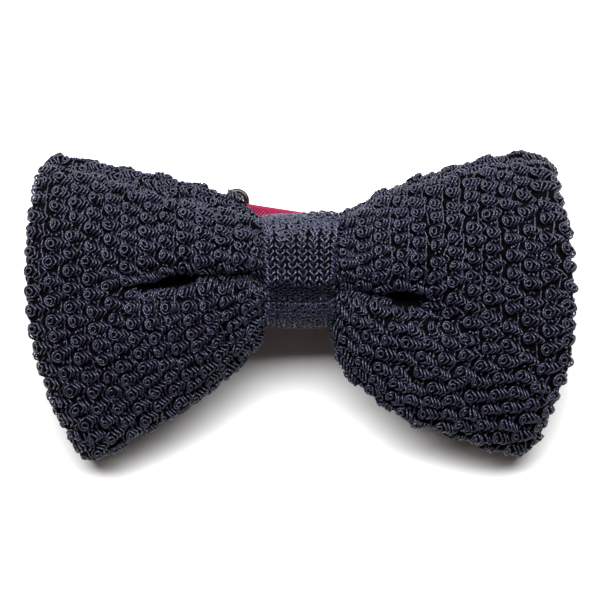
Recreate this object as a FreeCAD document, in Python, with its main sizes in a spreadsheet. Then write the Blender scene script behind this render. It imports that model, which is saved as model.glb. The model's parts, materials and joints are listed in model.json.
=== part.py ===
import FreeCAD, Part
import math
import os

# Knitted, ready-tied bow tie lying on its back, front up.
# Millimetres. +X to the wearer's left wing tip as seen from the front (image right),
# +Y towards the top edge of the bow, +Z out of the bow's front.
# Origin: centre of the bounding box in X and Y, at the surface the tie lies on.

V = FreeCAD.Vector
os.makedirs("parts", exist_ok=True)
doc = FreeCAD.newDocument("knit_bow_tie")

# ---------------------------------------------------------------- driving dimensions
sheet = doc.addObject("Spreadsheet::Sheet", "dims")
VALUES = [
    ("knit_thick", 2.4),         # bobble-knit strip of the bow
    ("strap_width", 14.5),
    ("strap_thick", 0.6),
    ("strap_y", 6.6),            # centre line of the flat passes
    ("root_z", 9.0),             # undersides of the passes, top to bottom
    ("second_z", 6.1),
    ("third_z", 5.2),
    ("fourth_z", 4.3),
    ("fifth_z", 2.4),
    ("return_z", 0.05),
    ("fold_one_x", -46.5),
    ("fold_two_x", 46.0),
    ("fold_three_x", -45.5),
    ("fold_four_x", 44.7),
    ("end_tilt", 8.7),           # the last pass lies this many degrees off the others
    ("half_tilt_run", 0.5515),   # tan(end_tilt / 2) * strap_width / 2
    ("bight_run", 58.35),        # from fold four to the eye ring's near wire
    ("knot_width", 16.0),
    ("knot_low_y", -5.0),
    ("knot_height", 25.3),
    ("knot_back_z", 7.1),
    ("knot_depth", 16.8),
    ("knot_wall", 1.6),
    ("binding_width", 2.4),
    ("binding_wall", 0.7),
    ("tab_end_x", 22.6),
    ("tab_turn_radius", 0.7),
    ("tab_turn_length", 9.6),
    ("hook_sheet", 0.6),
    ("hook_width", 17.2),
    ("hook_tongue", 7.2),
    ("hook_gap", 1.35),
    ("hook_reach", 11.0),
    ("wire_radius", 0.65),
    ("ring_turn", 2.15),         # radius of the ring's ends, to the wire's centre
    ("ring_straight", 15.0),
    ("slider_run", -24.0),       # slider's middle, from fold four along the last pass
    ("slider_length", 11.0),
    ("slider_width", 18.8),
    ("slider_top", 4.0),
    ("slider_bar", 0.8),
    ("thread_radius", 0.2),
]
D = {}
for row, (alias, value) in enumerate(VALUES, start=1):
    sheet.set("A%d" % row, alias)
    sheet.set("B%d" % row, str(value))
    sheet.setAlias("B%d" % row, alias)
    D[alias] = value
doc.recompute()

NODES = []


def keep(obj, label):
    obj.Label = label
    NODES.append(obj)
    return obj


def box(length, width, height, x, y, z):
    """A box whose sizes and corner are expressions on the sheet, or numbers."""
    b = doc.addObject("Part::Box", "blank")
    for prop, e in (("Length", length), ("Width", width), ("Height", height),
                    ("Placement.Base.x", x), ("Placement.Base.y", y), ("Placement.Base.z", z)):
        b.setExpression(prop, str(e))
    return b


def rod(radius, height, x, y, z, axis="z"):
    c = doc.addObject("Part::Cylinder", "blank")
    turn = {"z": FreeCAD.Rotation(), "y": FreeCAD.Rotation(V(1, 0, 0), -90),
            "x": FreeCAD.Rotation(V(0, 1, 0), 90)}[axis]
    c.Placement = FreeCAD.Placement(V(0, 0, 0), turn)
    for prop, e in (("Radius", radius), ("Height", height),
                    ("Placement.Base.x", x), ("Placement.Base.y", y), ("Placement.Base.z", z)):
        c.setExpression(prop, str(e))
    return c


def frame_to(ex, ey, ez, base):
    return FreeCAD.Placement(FreeCAD.Matrix(ex.x, ey.x, ez.x, base.x,
                                            ex.y, ey.y, ez.y, base.y,
                                            ex.z, ey.z, ez.z, base.z,
                                            0, 0, 0, 1))


def half_ring(mid_radius, thick, height, bulge, centre, slant=0.0):
    """Half of a tube: a band's turn. It runs along +Y and bulges to -X or +X."""
    outer = doc.addObject("Part::Cylinder", "blank")
    inner = doc.addObject("Part::Cylinder", "blank")
    outer.Angle = inner.Angle = 180
    outer.setExpression("Radius", "%s + %s / 2" % (mid_radius, thick))
    inner.setExpression("Radius", "%s - %s / 2" % (mid_radius, thick))
    for c in (outer, inner):
        c.setExpression("Height", str(height))
    cut = doc.addObject("Part::Cut", "blank")
    cut.Base, cut.Tool = outer, inner
    turn = FreeCAD.Rotation(V(0, 0, 1), slant)
    ey = V(bulge, 0, 0)
    ez = V(0, 1, 0)
    ex = ey.cross(ez)
    along = turn.multVec(ez)
    start = V(*centre) - along * 0.5 * height_value(height)
    cut.Placement = frame_to(ex, turn.multVec(ey), along, start)
    return cut


def height_value(e):
    if isinstance(e, (int, float)):
        return float(e)
    return D[e.replace("dims.", "")]


def fused(label, *parts, place=None):
    f = doc.addObject("Part::MultiFuse", label)
    f.Shapes = list(parts)
    if place is not None:
        f.Placement = place
    return keep(f, label)


def group(label, parts, place=None):
    c = doc.addObject("Part::Compound", label)
    c.Links = list(parts)
    if place is not None:
        c.Placement = place
    return keep(c, label)


# The last pass and what is on it are drawn in its own frame, whose origin is at fold four.
END = FreeCAD.Placement(V(D["fold_four_x"], D["strap_y"], 0),
                        FreeCAD.Rotation(V(0, 0, 1), -D["end_tilt"]))


# ---------------------------------------------------------------- strap passes
def plane_of(body, role):
    return [f for f in body.Origin.OriginFeatures if f.Role == role][0]


def strap_pass(label, left, right, left_run, right_run, place):
    """A flat stretch of the strap: a four-sided sketch padded by the strap's thickness."""
    import Sketcher
    body = doc.addObject("PartDesign::Body", label)
    sk = body.newObject("Sketcher::SketchObject", label + "_outline")
    sk.AttachmentSupport = (plane_of(body, "XY_Plane"), [""])
    sk.MapMode = "FlatFace"
    half = D["strap_width"] / 2
    xl, xr = left[0], right[0]
    pts = [V(xl - left_run[0], -half, 0), V(xr - right_run[0], -half, 0),
           V(xr + right_run[0], half, 0), V(xl + left_run[0], half, 0)]
    for i in range(4):
        sk.addGeometry(Part.LineSegment(pts[i], pts[(i + 1) % 4]), False)
    for i in range(4):
        sk.addConstraint(Sketcher.Constraint("Coincident", i, 2, (i + 1) % 4, 1))
    sk.addConstraint(Sketcher.Constraint("Horizontal", 0))
    sk.addConstraint(Sketcher.Constraint("Horizontal", 2))
    named = [
        ("low_edge", Sketcher.Constraint("DistanceY", 0, 1, -1, 1, half), "dims.strap_width / 2"),
        ("high_edge", Sketcher.Constraint("DistanceY", -1, 1, 2, 1, half), "dims.strap_width / 2"),
    ]
    for name, idx, x, expr in (("low_left", 0, pts[0].x, "%s - %s" % (left[1], left_run[1])),
                               ("low_right", 1, pts[1].x, "%s - %s" % (right[1], right_run[1])),
                               ("high_right", 2, pts[2].x, "%s + %s" % (right[1], right_run[1])),
                               ("high_left", 3, pts[3].x, "%s + %s" % (left[1], left_run[1]))):
        named.append((name, Sketcher.Constraint("DistanceX", -1, 1, idx, 1, x), expr))
    for name, con, expr in named:
        i = sk.addConstraint(con)
        sk.renameConstraint(i, name)
        sk.setExpression("Constraints." + name, expr)
    pad = body.newObject("PartDesign::Pad", label + "_pad")
    pad.Profile = sk
    pad.setExpression("Length", "dims.strap_thick")
    body.Tip = pad
    body.Placement = place
    return body


def flat(z):
    return FreeCAD.Placement(V(0, D["strap_y"], z), FreeCAD.Rotation())


NONE = (0.0, "0")
RUN = (D["half_tilt_run"], "dims.half_tilt_run")
ANTI = (-D["half_tilt_run"], "(-dims.half_tilt_run)")
keep(strap_pass("strap_pass_2", (D["fold_one_x"], "dims.fold_one_x"), (D["fold_two_x"], "dims.fold_two_x"),
                NONE, NONE, flat(D["second_z"])), "strap_pass_2")
keep(strap_pass("strap_pass_3", (D["fold_three_x"], "dims.fold_three_x"), (D["fold_two_x"], "dims.fold_two_x"),
                NONE, NONE, flat(D["third_z"])), "strap_pass_3")
keep(strap_pass("strap_pass_4", (D["fold_three_x"], "dims.fold_three_x"), (D["fold_four_x"], "dims.fold_four_x"),
                NONE, RUN, flat(D["fourth_z"])), "strap_pass_4")

# The last pass ends in a turn round the eye ring's near wire.
last = strap_pass("last_flat", (-D["bight_run"], "(-dims.bight_run)"), (0.0, "0"),
                  NONE, ANTI, FreeCAD.Placement(V(0, 0, D["fifth_z"]), FreeCAD.Rotation()))
bight_r = (D["fifth_z"] - D["return_z"]) / 2
bight_z = (D["fifth_z"] + D["return_z"] + D["strap_thick"]) / 2
bight = half_ring("(dims.fifth_z - dims.return_z) / 2", "dims.strap_thick", "dims.strap_width", -1,
                  (-D["bight_run"], 0, bight_z))
fused("strap_pass_5", last, bight, place=END)

# The doubled-back layer, from the eye ring to the slider.
ret = box("dims.bight_run + dims.slider_run - 7", "dims.strap_width", "dims.strap_thick",
          "(-dims.bight_run)", "(-dims.strap_width / 2)", "dims.return_z")
fused("strap_return", ret, box(0.5, 0.5, 0.5, "(-dims.bight_run) + 2", 0, "dims.return_z"), place=END)

# Folds between the passes.
half_t = D["strap_thick"] / 2


def fold(label, x, upper, lower, bulge, slant=0.0, long=1.0):
    zu, zl = D[upper] + half_t, D[lower] + half_t
    ring = half_ring("(dims.%s - dims.%s) / 2" % (upper, lower), "dims.strap_thick", "dims.strap_width",
                     bulge, (D[x], D["strap_y"], (zu + zl) / 2), slant)
    return keep(ring, label)


fold("strap_fold_1", "fold_one_x", "root_z", "second_z", -1)
fold("strap_fold_2", "fold_two_x", "second_z", "third_z", 1)
fold("strap_fold_3", "fold_three_x", "third_z", "fourth_z", -1)
fold("strap_fold_4", "fold_four_x", "fourth_z", "fifth_z", 1, -D["end_tilt"] / 2)

# ---------------------------------------------------------------- strap root, through the knot
root_flat = box("dims.tab_end_x - dims.fold_one_x", "dims.strap_width", "dims.strap_thick",
                "dims.fold_one_x", "dims.strap_y - dims.strap_width / 2", "dims.root_z")
turn_z = D["root_z"] + half_t - D["tab_turn_radius"]
tab_turn = half_ring("dims.tab_turn_radius", "dims.strap_thick", "dims.strap_width", 1,
                     (D["tab_end_x"], D["strap_y"], turn_z))
turn_back = box("dims.tab_turn_length", "dims.strap_width", "dims.strap_thick",
                "dims.tab_end_x - dims.tab_turn_length", "dims.strap_y - dims.strap_width / 2",
                "dims.root_z - 2 * dims.tab_turn_radius")
fused("neck_strap_root", root_flat, tab_turn, turn_back)

# Bar tacks that hold the strap to the knot's back wall.
posts = []
for x in (-5.2, 5.2):
    for k in range(5):
        posts.append(rod("dims.thread_radius", 1.2, x, "dims.strap_y + %g" % (-5.0 + 2.5 * k), "dims.root_z - 0.55"))
group("strap_anchor_tacks", posts)

# ---------------------------------------------------------------- knot
def sleeve(label, low_y, tall, back, deep, wall, length, out_r, in_r):
    """A closed band round the middle of the bow: a ring sketched in YZ, padded both ways along X."""
    import Sketcher
    body = doc.addObject("PartDesign::Body", label)
    sk = body.newObject("Sketcher::SketchObject", label + "_section")
    sk.AttachmentSupport = (plane_of(body, "YZ_Plane"), [""])
    sk.MapMode = "FlatFace"
    n = 0
    for inset in (0.0, 1.0):
        w = wall[0] * inset
        y0, y1 = low_y[0] + w, low_y[0] + tall[0] - w
        z0, z1 = back[0] + w, back[0] + deep[0] - w
        pts = [V(y0, z0, 0), V(y1, z0, 0), V(y1, z1, 0), V(y0, z1, 0)]
        for i in range(4):
            sk.addGeometry(Part.LineSegment(pts[i], pts[(i + 1) % 4]), False)
        for i in range(4):
            sk.addConstraint(Sketcher.Constraint("Coincident", n + i, 2, n + (i + 1) % 4, 1))
        for i, kind in enumerate(("Horizontal", "Vertical", "Horizontal", "Vertical")):
            sk.addConstraint(Sketcher.Constraint(kind, n + i))
        add = " + %s" % wall[1] if inset else ""
        less = " - %s" % wall[1] if inset else ""
        tag = "in" if inset else "out"
        for name, kind, g, val, expr in (
                (tag + "_left", "DistanceX", (n, 1), y0, low_y[1] + add),
                (tag + "_right", "DistanceX", (n + 1, 1), y1, low_y[1] + " + " + tall[1] + less),
                (tag + "_bottom", "DistanceY", (n, 1), z0, back[1] + add),
                (tag + "_top", "DistanceY", (n + 2, 1), z1, back[1] + " + " + deep[1] + less)):
            i = sk.addConstraint(Sketcher.Constraint(kind, -1, 1, g[0], g[1], val))
            sk.renameConstraint(i, name)
            sk.setExpression("Constraints." + name, expr)
        n += 4
    pad = body.newObject("PartDesign::Pad", label + "_pad")
    pad.Profile = sk
    pad.setExpression("Length", length)
    pad.Midplane = True
    body.Tip = pad
    doc.recompute()

    def x_edges(shape, front, outer):
        names = []
        zs = [v.Point.z for v in shape.Vertexes]
        mid = (max(zs) + min(zs)) / 2
        ys = [v.Point.y for v in shape.Vertexes]
        for i, e in enumerate(shape.Edges, start=1):
            a, b = e.Vertexes[0].Point, e.Vertexes[-1].Point
            if abs(a.x - b.x) < 1 or abs(a.y - b.y) > 1e-6 or abs(a.z - b.z) > 1e-6:
                continue
            is_outer = min(abs(a.y - min(ys)), abs(a.y - max(ys))) < 1e-3
            if is_outer == outer and (a.z > mid) == front:
                names.append("Edge%d" % i)
        return names

    tip = pad
    for k, (front, outer, radius) in enumerate(((True, True, out_r[0]), (False, True, out_r[1]),
                                                (True, False, in_r[0]), (False, False, in_r[1]))):
        names = x_edges(tip.Shape, front, outer)
        f = body.newObject("PartDesign::Fillet", "%s_round_%d" % (label, k))
        f.Base = (tip, names)
        f.Radius = radius
        body.Tip = f
        doc.recompute()
        tip = f
    return body


keep(sleeve("knot_band", (D["knot_low_y"], "dims.knot_low_y"), (D["knot_height"], "dims.knot_height"),
            (D["knot_back_z"], "dims.knot_back_z"), (D["knot_depth"], "dims.knot_depth"),
            (D["knot_wall"], "dims.knot_wall"), "dims.knot_width", (6.0, 2.2), (4.4, 0.8)), "knot_band")
bind_low, bind_tall = D["knot_low_y"] + D["knot_wall"] + 0.25, D["knot_height"] - 2 * D["knot_wall"] - 0.5
keep(sleeve("gather_binding", (bind_low, "dims.knot_low_y + dims.knot_wall + 0.25"),
            (bind_tall, "dims.knot_height - 2 * dims.knot_wall - 0.5"),
            (D["root_z"] + D["strap_thick"] + 0.15, "dims.root_z + dims.strap_thick + 0.15"),
            (12.3, "12.3"), (D["binding_wall"], "dims.binding_wall"), "dims.binding_width",
            (4.0, 1.2), (3.3, 0.5)), "gather_binding")

# Whip stitches closing the knot band on the back.
group("knot_seam_stitches", [rod("dims.thread_radius", 2.6, x, "dims.strap_y - 1.3", "dims.knot_back_z + 0.02", "y")
                             for x in (-6.2, -3.1, 0.0, 3.1, 6.2)])

# ---------------------------------------------------------------- hook on the short tab
sy = "dims.strap_y"
plate_z = "(dims.root_z - 0.05)"
tongue_z = "(dims.root_z - 0.05 - dims.hook_gap - dims.hook_sheet)"
hook_parts = [
    rod(0.34, "dims.hook_width", "dims.tab_end_x", sy + " - dims.hook_width / 2", turn_z, "y"),
    box(3.1, 0.9, 1.15, "dims.tab_end_x - 0.45", sy + " - dims.hook_width / 2", "dims.root_z - 0.6"),
    box(3.1, 0.9, 1.15, "dims.tab_end_x - 0.45", sy + " + dims.hook_width / 2 - 0.9", "dims.root_z - 0.6"),
    box("3.2", "dims.hook_width", "dims.hook_sheet", "dims.tab_end_x + 2", sy + " - dims.hook_width / 2", plate_z),
    box("dims.hook_reach - 4.5", "dims.hook_tongue + 3", "dims.hook_sheet", "dims.tab_end_x + 4.5",
        sy + " - dims.hook_tongue / 2 - 1.5", plate_z),
    box("dims.hook_reach - 6", "dims.hook_tongue", "dims.hook_sheet", "dims.tab_end_x + 5",
        sy + " - dims.hook_tongue / 2", tongue_z),
    box("1.0", "dims.hook_tongue", "dims.hook_sheet", "dims.tab_end_x + dims.hook_reach - 1",
        sy + " - dims.hook_tongue / 2", tongue_z),
    half_ring("(dims.hook_gap + dims.hook_sheet) / 2", "dims.hook_sheet", "dims.hook_tongue", 1,
              (D["tab_end_x"] + D["hook_reach"], D["strap_y"],
               D["root_z"] - 0.05 + D["hook_sheet"] / 2 - (D["hook_gap"] + D["hook_sheet"]) / 2)),
]
fused("hook", *hook_parts)
group("hook_tack", [rod("dims.thread_radius", "2 * dims.tab_turn_radius + dims.strap_thick + 0.1", "dims.tab_end_x - %g" % x,
                        sy + " + %g" % y, "dims.root_z - 2 * dims.tab_turn_radius - 0.05")
                    for x in (3.2, 4.6) for y in (-5.6, -2.8, 0.0, 2.8, 5.6)])

# ---------------------------------------------------------------- eye ring
rx = "(-dims.bight_run)"
far = "(-dims.bight_run - 2 * dims.ring_turn)"
arcs = []
for sign in (1, -1):
    t = doc.addObject("Part::Torus", "blank")
    t.setExpression("Radius1", "dims.ring_turn")
    t.setExpression("Radius2", "dims.wire_radius")
    t.Angle3 = 180
    t.Placement = FreeCAD.Placement(V(-D["bight_run"] - D["ring_turn"], sign * D["ring_straight"] / 2, bight_z),
                                    FreeCAD.Rotation(V(0, 0, 1), 0 if sign > 0 else 180))
    arcs.append(t)
fused("eye_ring",
      rod("dims.wire_radius", "dims.ring_straight", rx, "(-dims.ring_straight / 2)", bight_z, "y"),
      rod("dims.wire_radius", "dims.ring_straight", far, "(-dims.ring_straight / 2)", bight_z, "y"),
      *arcs, place=END)

# ---------------------------------------------------------------- slide adjuster
c = "dims.slider_run"
hw = "dims.slider_width / 2"
slot = "(dims.strap_width / 2 + 0.35)"
end_len = "(dims.slider_width / 2 - dims.strap_width / 2 - 0.35)"
slider_parts = [
    box("dims.slider_length", end_len, "dims.slider_top", c + " - dims.slider_length / 2", slot, 0),
    box("dims.slider_length", end_len, "dims.slider_top", c + " - dims.slider_length / 2", "(-%s)" % hw, 0),
    box(1.9, "dims.slider_width - 1", "dims.slider_bar", c + " - dims.slider_length / 2", "(-%s + 0.5)" % hw,
        "dims.slider_top - dims.slider_bar"),
    box(1.9, "dims.slider_width - 1", "dims.slider_bar", c + " + dims.slider_length / 2 - 1.9", "(-%s + 0.5)" % hw,
        "dims.slider_top - dims.slider_bar"),
    box(1.6, "dims.slider_width - 1", 0.7, c + " - 0.8", "(-%s + 0.5)" % hw, 0.8),
]
raw = doc.addObject("Part::MultiFuse", "slider_blank")
raw.Shapes = slider_parts
doc.recompute()
rounded = doc.addObject("Part::Fillet", "slide_adjuster")
rounded.Base = raw
corner = []
hx, hy = D["slider_length"] / 2, D["slider_width"] / 2
for i, e in enumerate(raw.Shape.Edges, start=1):
    a, b = e.Vertexes[0].Point, e.Vertexes[-1].Point
    upright = abs(a.x - b.x) < 1e-6 and abs(a.y - b.y) < 1e-6 and abs(a.z - b.z) > 3.5
    if upright and abs(abs(a.y) - hy) < 1e-6:
        corner.append((i, 1.2, 1.2))
rounded.Edges = corner
rounded.Placement = END
keep(rounded, "slide_adjuster")

# The strap's end goes round the slider's middle bar and is tacked to itself.
mid_z = 1.15
wrap_r = (1.95 - 0.35) / 2
wrap_low = box(7.5, "dims.strap_width", "dims.strap_thick", c + " - 7", "(-dims.strap_width / 2)", "dims.return_z")
wrap_top = box(7.5, "dims.strap_width", "dims.strap_thick", c + " - 7", "(-dims.strap_width / 2)",
               "dims.return_z + 1.6")
wrap_turn = half_ring("0.8", "dims.strap_thick", "dims.strap_width", 1,
                      (D["slider_run"] + 0.5, 0, D["return_z"] + D["strap_thick"] / 2 + 0.8))
fused("strap_end_loop", wrap_low, wrap_top, wrap_turn, place=END)
group("strap_end_tack", [rod("dims.thread_radius", 2.15, c + " - %g" % x, "%g" % y, "dims.return_z + 0.02")
                         for x in (4.6, 5.8) for y in (-5.6, -2.8, 0.0, 2.8, 5.6)], place=END)

# ---------------------------------------------------------------- bow loops
OUT = {
    -1: {
        "TB": [(-0.6, 16.4), (-7.2, 17.6), (-9.8, 20.4), (-14.5, 23.4), (-22.0, 26.2), (-33.7, 29.0), (-41.7, 30.7),
               (-49.6, 32.4), (-53.2, 33.0), (-55.0, 32.1), (-56.0, 30.4)],
        "TF": [(-0.6, 16.0), (-7.2, 17.2), (-9.8, 18.6), (-18.0, 20.9), (-28.4, 23.1), (-42.0, 27.1), (-50.0, 29.6),
               (-53.8, 30.6), (-56.0, 30.4)],
        "BF": [(-0.6, -1.8), (-7.2, -3.2), (-9.6, -7.6), (-13.7, -13.2), (-20.4, -18.8), (-26.6, -23.3),
               (-34.6, -27.9), (-41.2, -31.7), (-44.4, -33.5), (-47.2, -32.8)],
        "BB": [(-0.6, -1.4), (-7.2, -2.8), (-9.6, -6.0), (-13.7, -11.3), (-20.4, -16.8), (-26.6, -21.4),
               (-34.6, -26.1), (-41.2, -30.1), (-44.6, -32.1), (-47.2, -32.8)],
        "O": [(-47.2, -32.8), (-48.8, -30.4), (-50.2, -26.9), (-52.2, -23.2), (-54.2, -17.4), (-56.5, -10.8),
              (-58.0, -2.5), (-58.8, 5.3), (-58.4, 13.9), (-57.6, 22.9), (-56.9, 27.4), (-56.0, 30.4)],
        "C": [(0.6, 5.5), (8.3, 5.2), (15, 6.4), (22, 6.2), (28, 4.8), (32.7, 3.5), (37, 2.8), (60, 2.8)],
        "DEPTH": [(0.6, 4.6), (8, 6.6), (15, 6.6), (24, 5.6), (31, 4.6), (34, 2.8), (38, 0.7), (43, 0), (60, 0)],
        "WIDE": [(0.6, 1.5), (8, 1.5), (20, 1.7), (28, 2.3), (32.7, 3.2), (38, 5.0), (60, 5.0)],
    },
    1: {
        "TB": [(0.6, 16.4), (7.2, 17.6), (9.8, 20.2), (14.4, 23.0), (22.8, 26.9), (31.3, 29.7), (39.2, 31.9),
               (47.2, 33.5), (50.9, 33.6), (53.6, 32.3), (55.0, 29.8)],
        "TF": [(0.6, 16.0), (7.2, 17.0), (9.8, 18.6), (15.0, 21.4), (21.8, 24.6), (32.0, 27.8), (43.6, 30.4),
               (50.5, 31.2), (53.6, 31.2), (55.0, 29.8)],
        "BF": [(0.6, -1.8), (6.8, -3.2), (8.2, -9.2), (10.4, -14.0), (15.0, -18.8), (23.8, -24.6), (32.6, -28.0),
               (41.7, -31.2), (46.6, -32.2), (50.2, -30.9)],
        "BB": [(0.6, -1.4), (6.8, -2.8), (8.4, -7.6), (10.8, -12.2), (15.4, -16.8), (23.8, -22.7), (32.6, -26.2),
               (41.7, -29.6), (46.6, -31.0), (50.2, -30.9)],
        "O": [(50.2, -30.9), (51.8, -28.4), (53.0, -25.4), (54.6, -21.1), (56.3, -16.5), (58.0, -11.7), (58.6, -4.8),
              (58.8, 3.2), (58.2, 12.3), (57.5, 17.5), (56.4, 22.8), (55.8, 26.6), (55.0, 29.8)],
        "C": [(0.6, 5.0), (8, 4.2), (14, 2.9), (20, 1.9), (26.2, 0.6), (30, -2.2), (34, -3), (60, -3)],
        "DEPTH": [(0.6, 4.6), (8, 6.6), (15, 6.4), (22, 5.6), (27, 4.8), (31, 2.4), (35, 0.5), (39, 0), (60, 0)],
        "WIDE": [(0.6, 1.5), (8, 1.5), (18, 1.9), (24, 3.2), (28, 4.0), (33, 5.5), (60, 5.5)],
    },
}
FRONT = [(0.6, 20.0), (8, 20.9), (18, 20.8), (30, 19.9), (42, 18.8), (52, 17.9), (60, 17.3)]
FRONT_DROP = [(0.6, 4.4), (8, 6.5), (20, 7.0), (35, 8.5), (46, 11.0), (60, 12.4)]
BACK = [(0.6, 12.0), (8, 11.8), (20, 12.1), (35, 12.7), (46, 13.1), (60, 13.3)]
BACK_DROP = [(0.6, 0.4), (8, 1.6), (20, 4.0), (35, 8.2), (46, 12.0), (60, 12.6)]
TURN = 3.2


def at(table, x):
    """Smooth reading of a table of (x, value)."""
    if x <= table[0][0]:
        return table[0][1]
    for (a, p), (b, q) in zip(table, table[1:]):
        if x <= b:
            k = (x - a) / (b - a)
            k = k * k * (3 - 2 * k) * 0.35 + k * 0.65
            return p + (q - p) * k
    return table[-1][1]


def along(points, f):
    """A point at fraction f of a curve through the points, by chord length."""
    cum = [0.0]
    for (a, b), (p, q) in zip(points, points[1:]):
        cum.append(cum[-1] + math.hypot(p - a, q - b))
    target = min(max(f, 0.0), 1.0) * cum[-1]
    i = 0
    while i < len(points) - 2 and cum[i + 1] < target:
        i += 1
    k = (target - cum[i]) / (cum[i + 1] - cum[i])
    p1, p2 = points[i], points[i + 1]
    p0 = points[i - 1] if i > 0 else (2 * p1[0] - p2[0], 2 * p1[1] - p2[1])
    p3 = points[i + 2] if i + 2 < len(points) else (2 * p2[0] - p1[0], 2 * p2[1] - p1[1])
    seg = cum[i + 1] - cum[i]
    before = cum[i] - cum[i - 1] if i > 0 else seg
    after = cum[i + 2] - cum[i + 1] if i + 2 < len(points) else seg
    out = []
    for j in (0, 1):
        m1 = seg * (p2[j] - p0[j]) / (seg + before)
        m2 = seg * (p3[j] - p1[j]) / (seg + after)
        k2, k3 = k * k, k * k * k
        out.append((2 * k3 - 3 * k2 + 1) * p1[j] + (k3 - 2 * k2 + k) * m1
                   + (-2 * k3 + 3 * k2) * p2[j] + (k3 - k2) * m2)
    return out[0], out[1]


def plan(side, layer, u, s):
    """Coons patch over the four edge curves of a layer."""
    w = OUT[side]
    top, bottom, outer = w["TF" if layer == "F" else "TB"], w["BF" if layer == "F" else "BB"], w["O"]
    k0, k1 = bottom[0], top[0]
    o0, o1 = outer[0], outer[-1]
    b, t, o = along(bottom, u), along(top, u), along(outer, s)
    knot = (k0[0] + (k1[0] - k0[0]) * s, k0[1] + (k1[1] - k0[1]) * s)
    res = []
    for j in (0, 1):
        res.append((1 - u) * knot[j] + u * o[j] + (1 - s) * b[j] + s * t[j]
                   - ((1 - u) * (1 - s) * k0[j] + (1 - u) * s * k1[j] + u * (1 - s) * o0[j] + u * s * o1[j]))
    return res[0], res[1]


def heights(side, x, y, s):
    w = OUT[side]
    ax = abs(x)
    p = (s - 0.53) / (0.53 if s < 0.53 else 0.47)
    back = at(BACK, ax) - at(BACK_DROP, ax) * abs(p) ** 3.2
    front = at(FRONT, ax) - at(FRONT_DROP, ax) * abs(p) ** 3.0
    gap = (y - at(w["C"], ax)) / (at(w["WIDE"], ax) * 1.7)
    front -= 0.8 * at(w["DEPTH"], ax) * math.exp(-abs(gap) ** 1.6)
    return front, back


def wing_grid(side, rows=25):
    """Middle surface of one loop: front layer, turn at the outer edge, back layer."""
    reach = 52.0
    near = 1 - TURN / reach
    steps = [("F", near * i / 15.0, 1.0) for i in range(16)]
    for k in range(1, 5):
        phi = math.radians(22.5 * k)
        steps.append(("F", near + (1 - near) * math.sin(phi), math.cos(phi)))
    for k in range(3, 0, -1):
        phi = math.radians(22.5 * k)
        steps.append(("B", near + (1 - near) * math.sin(phi), -math.cos(phi)))
    steps += [("B", near * i / 15.0, -1.0) for i in range(15, -1, -1)]
    grid = []
    for layer, u, open_ in steps:
        line = []
        for j in range(rows):
            s = j / (rows - 1.0)
            x, y = plan(side, layer, u, s)
            f, b = heights(side, x, y, s)
            mid, half = (f + b) / 2, (f - b) / 2
            line.append(V(x, y, mid + half * open_))
        grid.append(line)
    return grid


def offset_grid(grid, d):
    out = []
    n, m = len(grid), len(grid[0])
    for i in range(n):
        line = []
        for j in range(m):
            a = grid[min(i + 1, n - 1)][j] - grid[max(i - 1, 0)][j]
            b = grid[i][min(j + 1, m - 1)] - grid[i][max(j - 1, 0)]
            k = a.cross(b)
            k.normalize()
            line.append(grid[i][j] + k * d)
        out.append(line)
    return out


def clamped(count):
    """Multiplicities and evenly spaced knots of a clamped cubic with this many poles."""
    inner = count - 4
    return [4] + [1] * inner + [4], [i / (inner + 1.0) for i in range(inner + 2)]


def loop_solid(side, thick):
    mid = wing_grid(side)
    skins = []
    for d in (thick / 2, -thick / 2):
        poles = offset_grid(mid, d)
        s = Part.BSplineSurface()
        s.buildFromPolesMultsKnots(poles, clamped(len(poles))[0], clamped(len(poles[0]))[0],
                                   clamped(len(poles))[1], clamped(len(poles[0]))[1], False, False, 3, 3)
        skins.append(s)
    faces = [s.toShape() for s in skins]
    a, b = skins
    u0, u1, v0, v1 = a.bounds()
    for ca, cb in ((a.uIso(u0), b.uIso(u0)), (a.uIso(u1), b.uIso(u1)), (a.vIso(v0), b.vIso(v0)), (a.vIso(v1), b.vIso(v1))):
        edge = Part.BSplineSurface()
        edge.buildFromPolesMultsKnots([ca.getPoles(), cb.getPoles()], [2, 2], ca.getMultiplicities(),
                                      [0.0, 1.0], ca.getKnots(), False, False, 1, ca.Degree)
        faces.append(edge.toShape())
    shell = Part.Compound(faces)
    shell.sewShape(0.001)
    solid = Part.makeSolid(shell.Shells[0])
    if solid.Volume < 0:
        solid.reverse()
    return solid


for side, label in ((-1, "left_wing_loop"), (1, "right_wing_loop")):
    f = doc.addObject("Part::Feature", label)
    f.Shape = loop_solid(side, D["knit_thick"])
    f.Placement = FreeCAD.Placement(V(0, 0, 0), FreeCAD.Rotation())
    keep(f, label)

# ---------------------------------------------------------------- checks and files
doc.recompute()
bad = []
for obj in doc.Objects:
    if "Invalid" in obj.State or "Error" in obj.State:
        bad.append("%s: %s" % (obj.Name, obj.State))
for obj in NODES:
    if obj.Shape.isNull() or not obj.Shape.isValid():
        bad.append("%s: shape" % obj.Label)
    elif not obj.Shape.Solids:
        bad.append("%s: no solid" % obj.Label)
if bad:
    raise RuntimeError("; ".join(bad))
for obj in NODES:
    bb = obj.Shape.BoundBox
    print("%-20s solids %d  vol %8.2f  x %.2f..%.2f  y %.2f..%.2f  z %.2f..%.2f" % (
        obj.Label, len(obj.Shape.Solids), obj.Shape.Volume, bb.XMin, bb.XMax, bb.YMin, bb.YMax, bb.ZMin, bb.ZMax))
    obj.Shape.exportStep("parts/%s.step" % obj.Label)
print("nodes", len(NODES))
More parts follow.
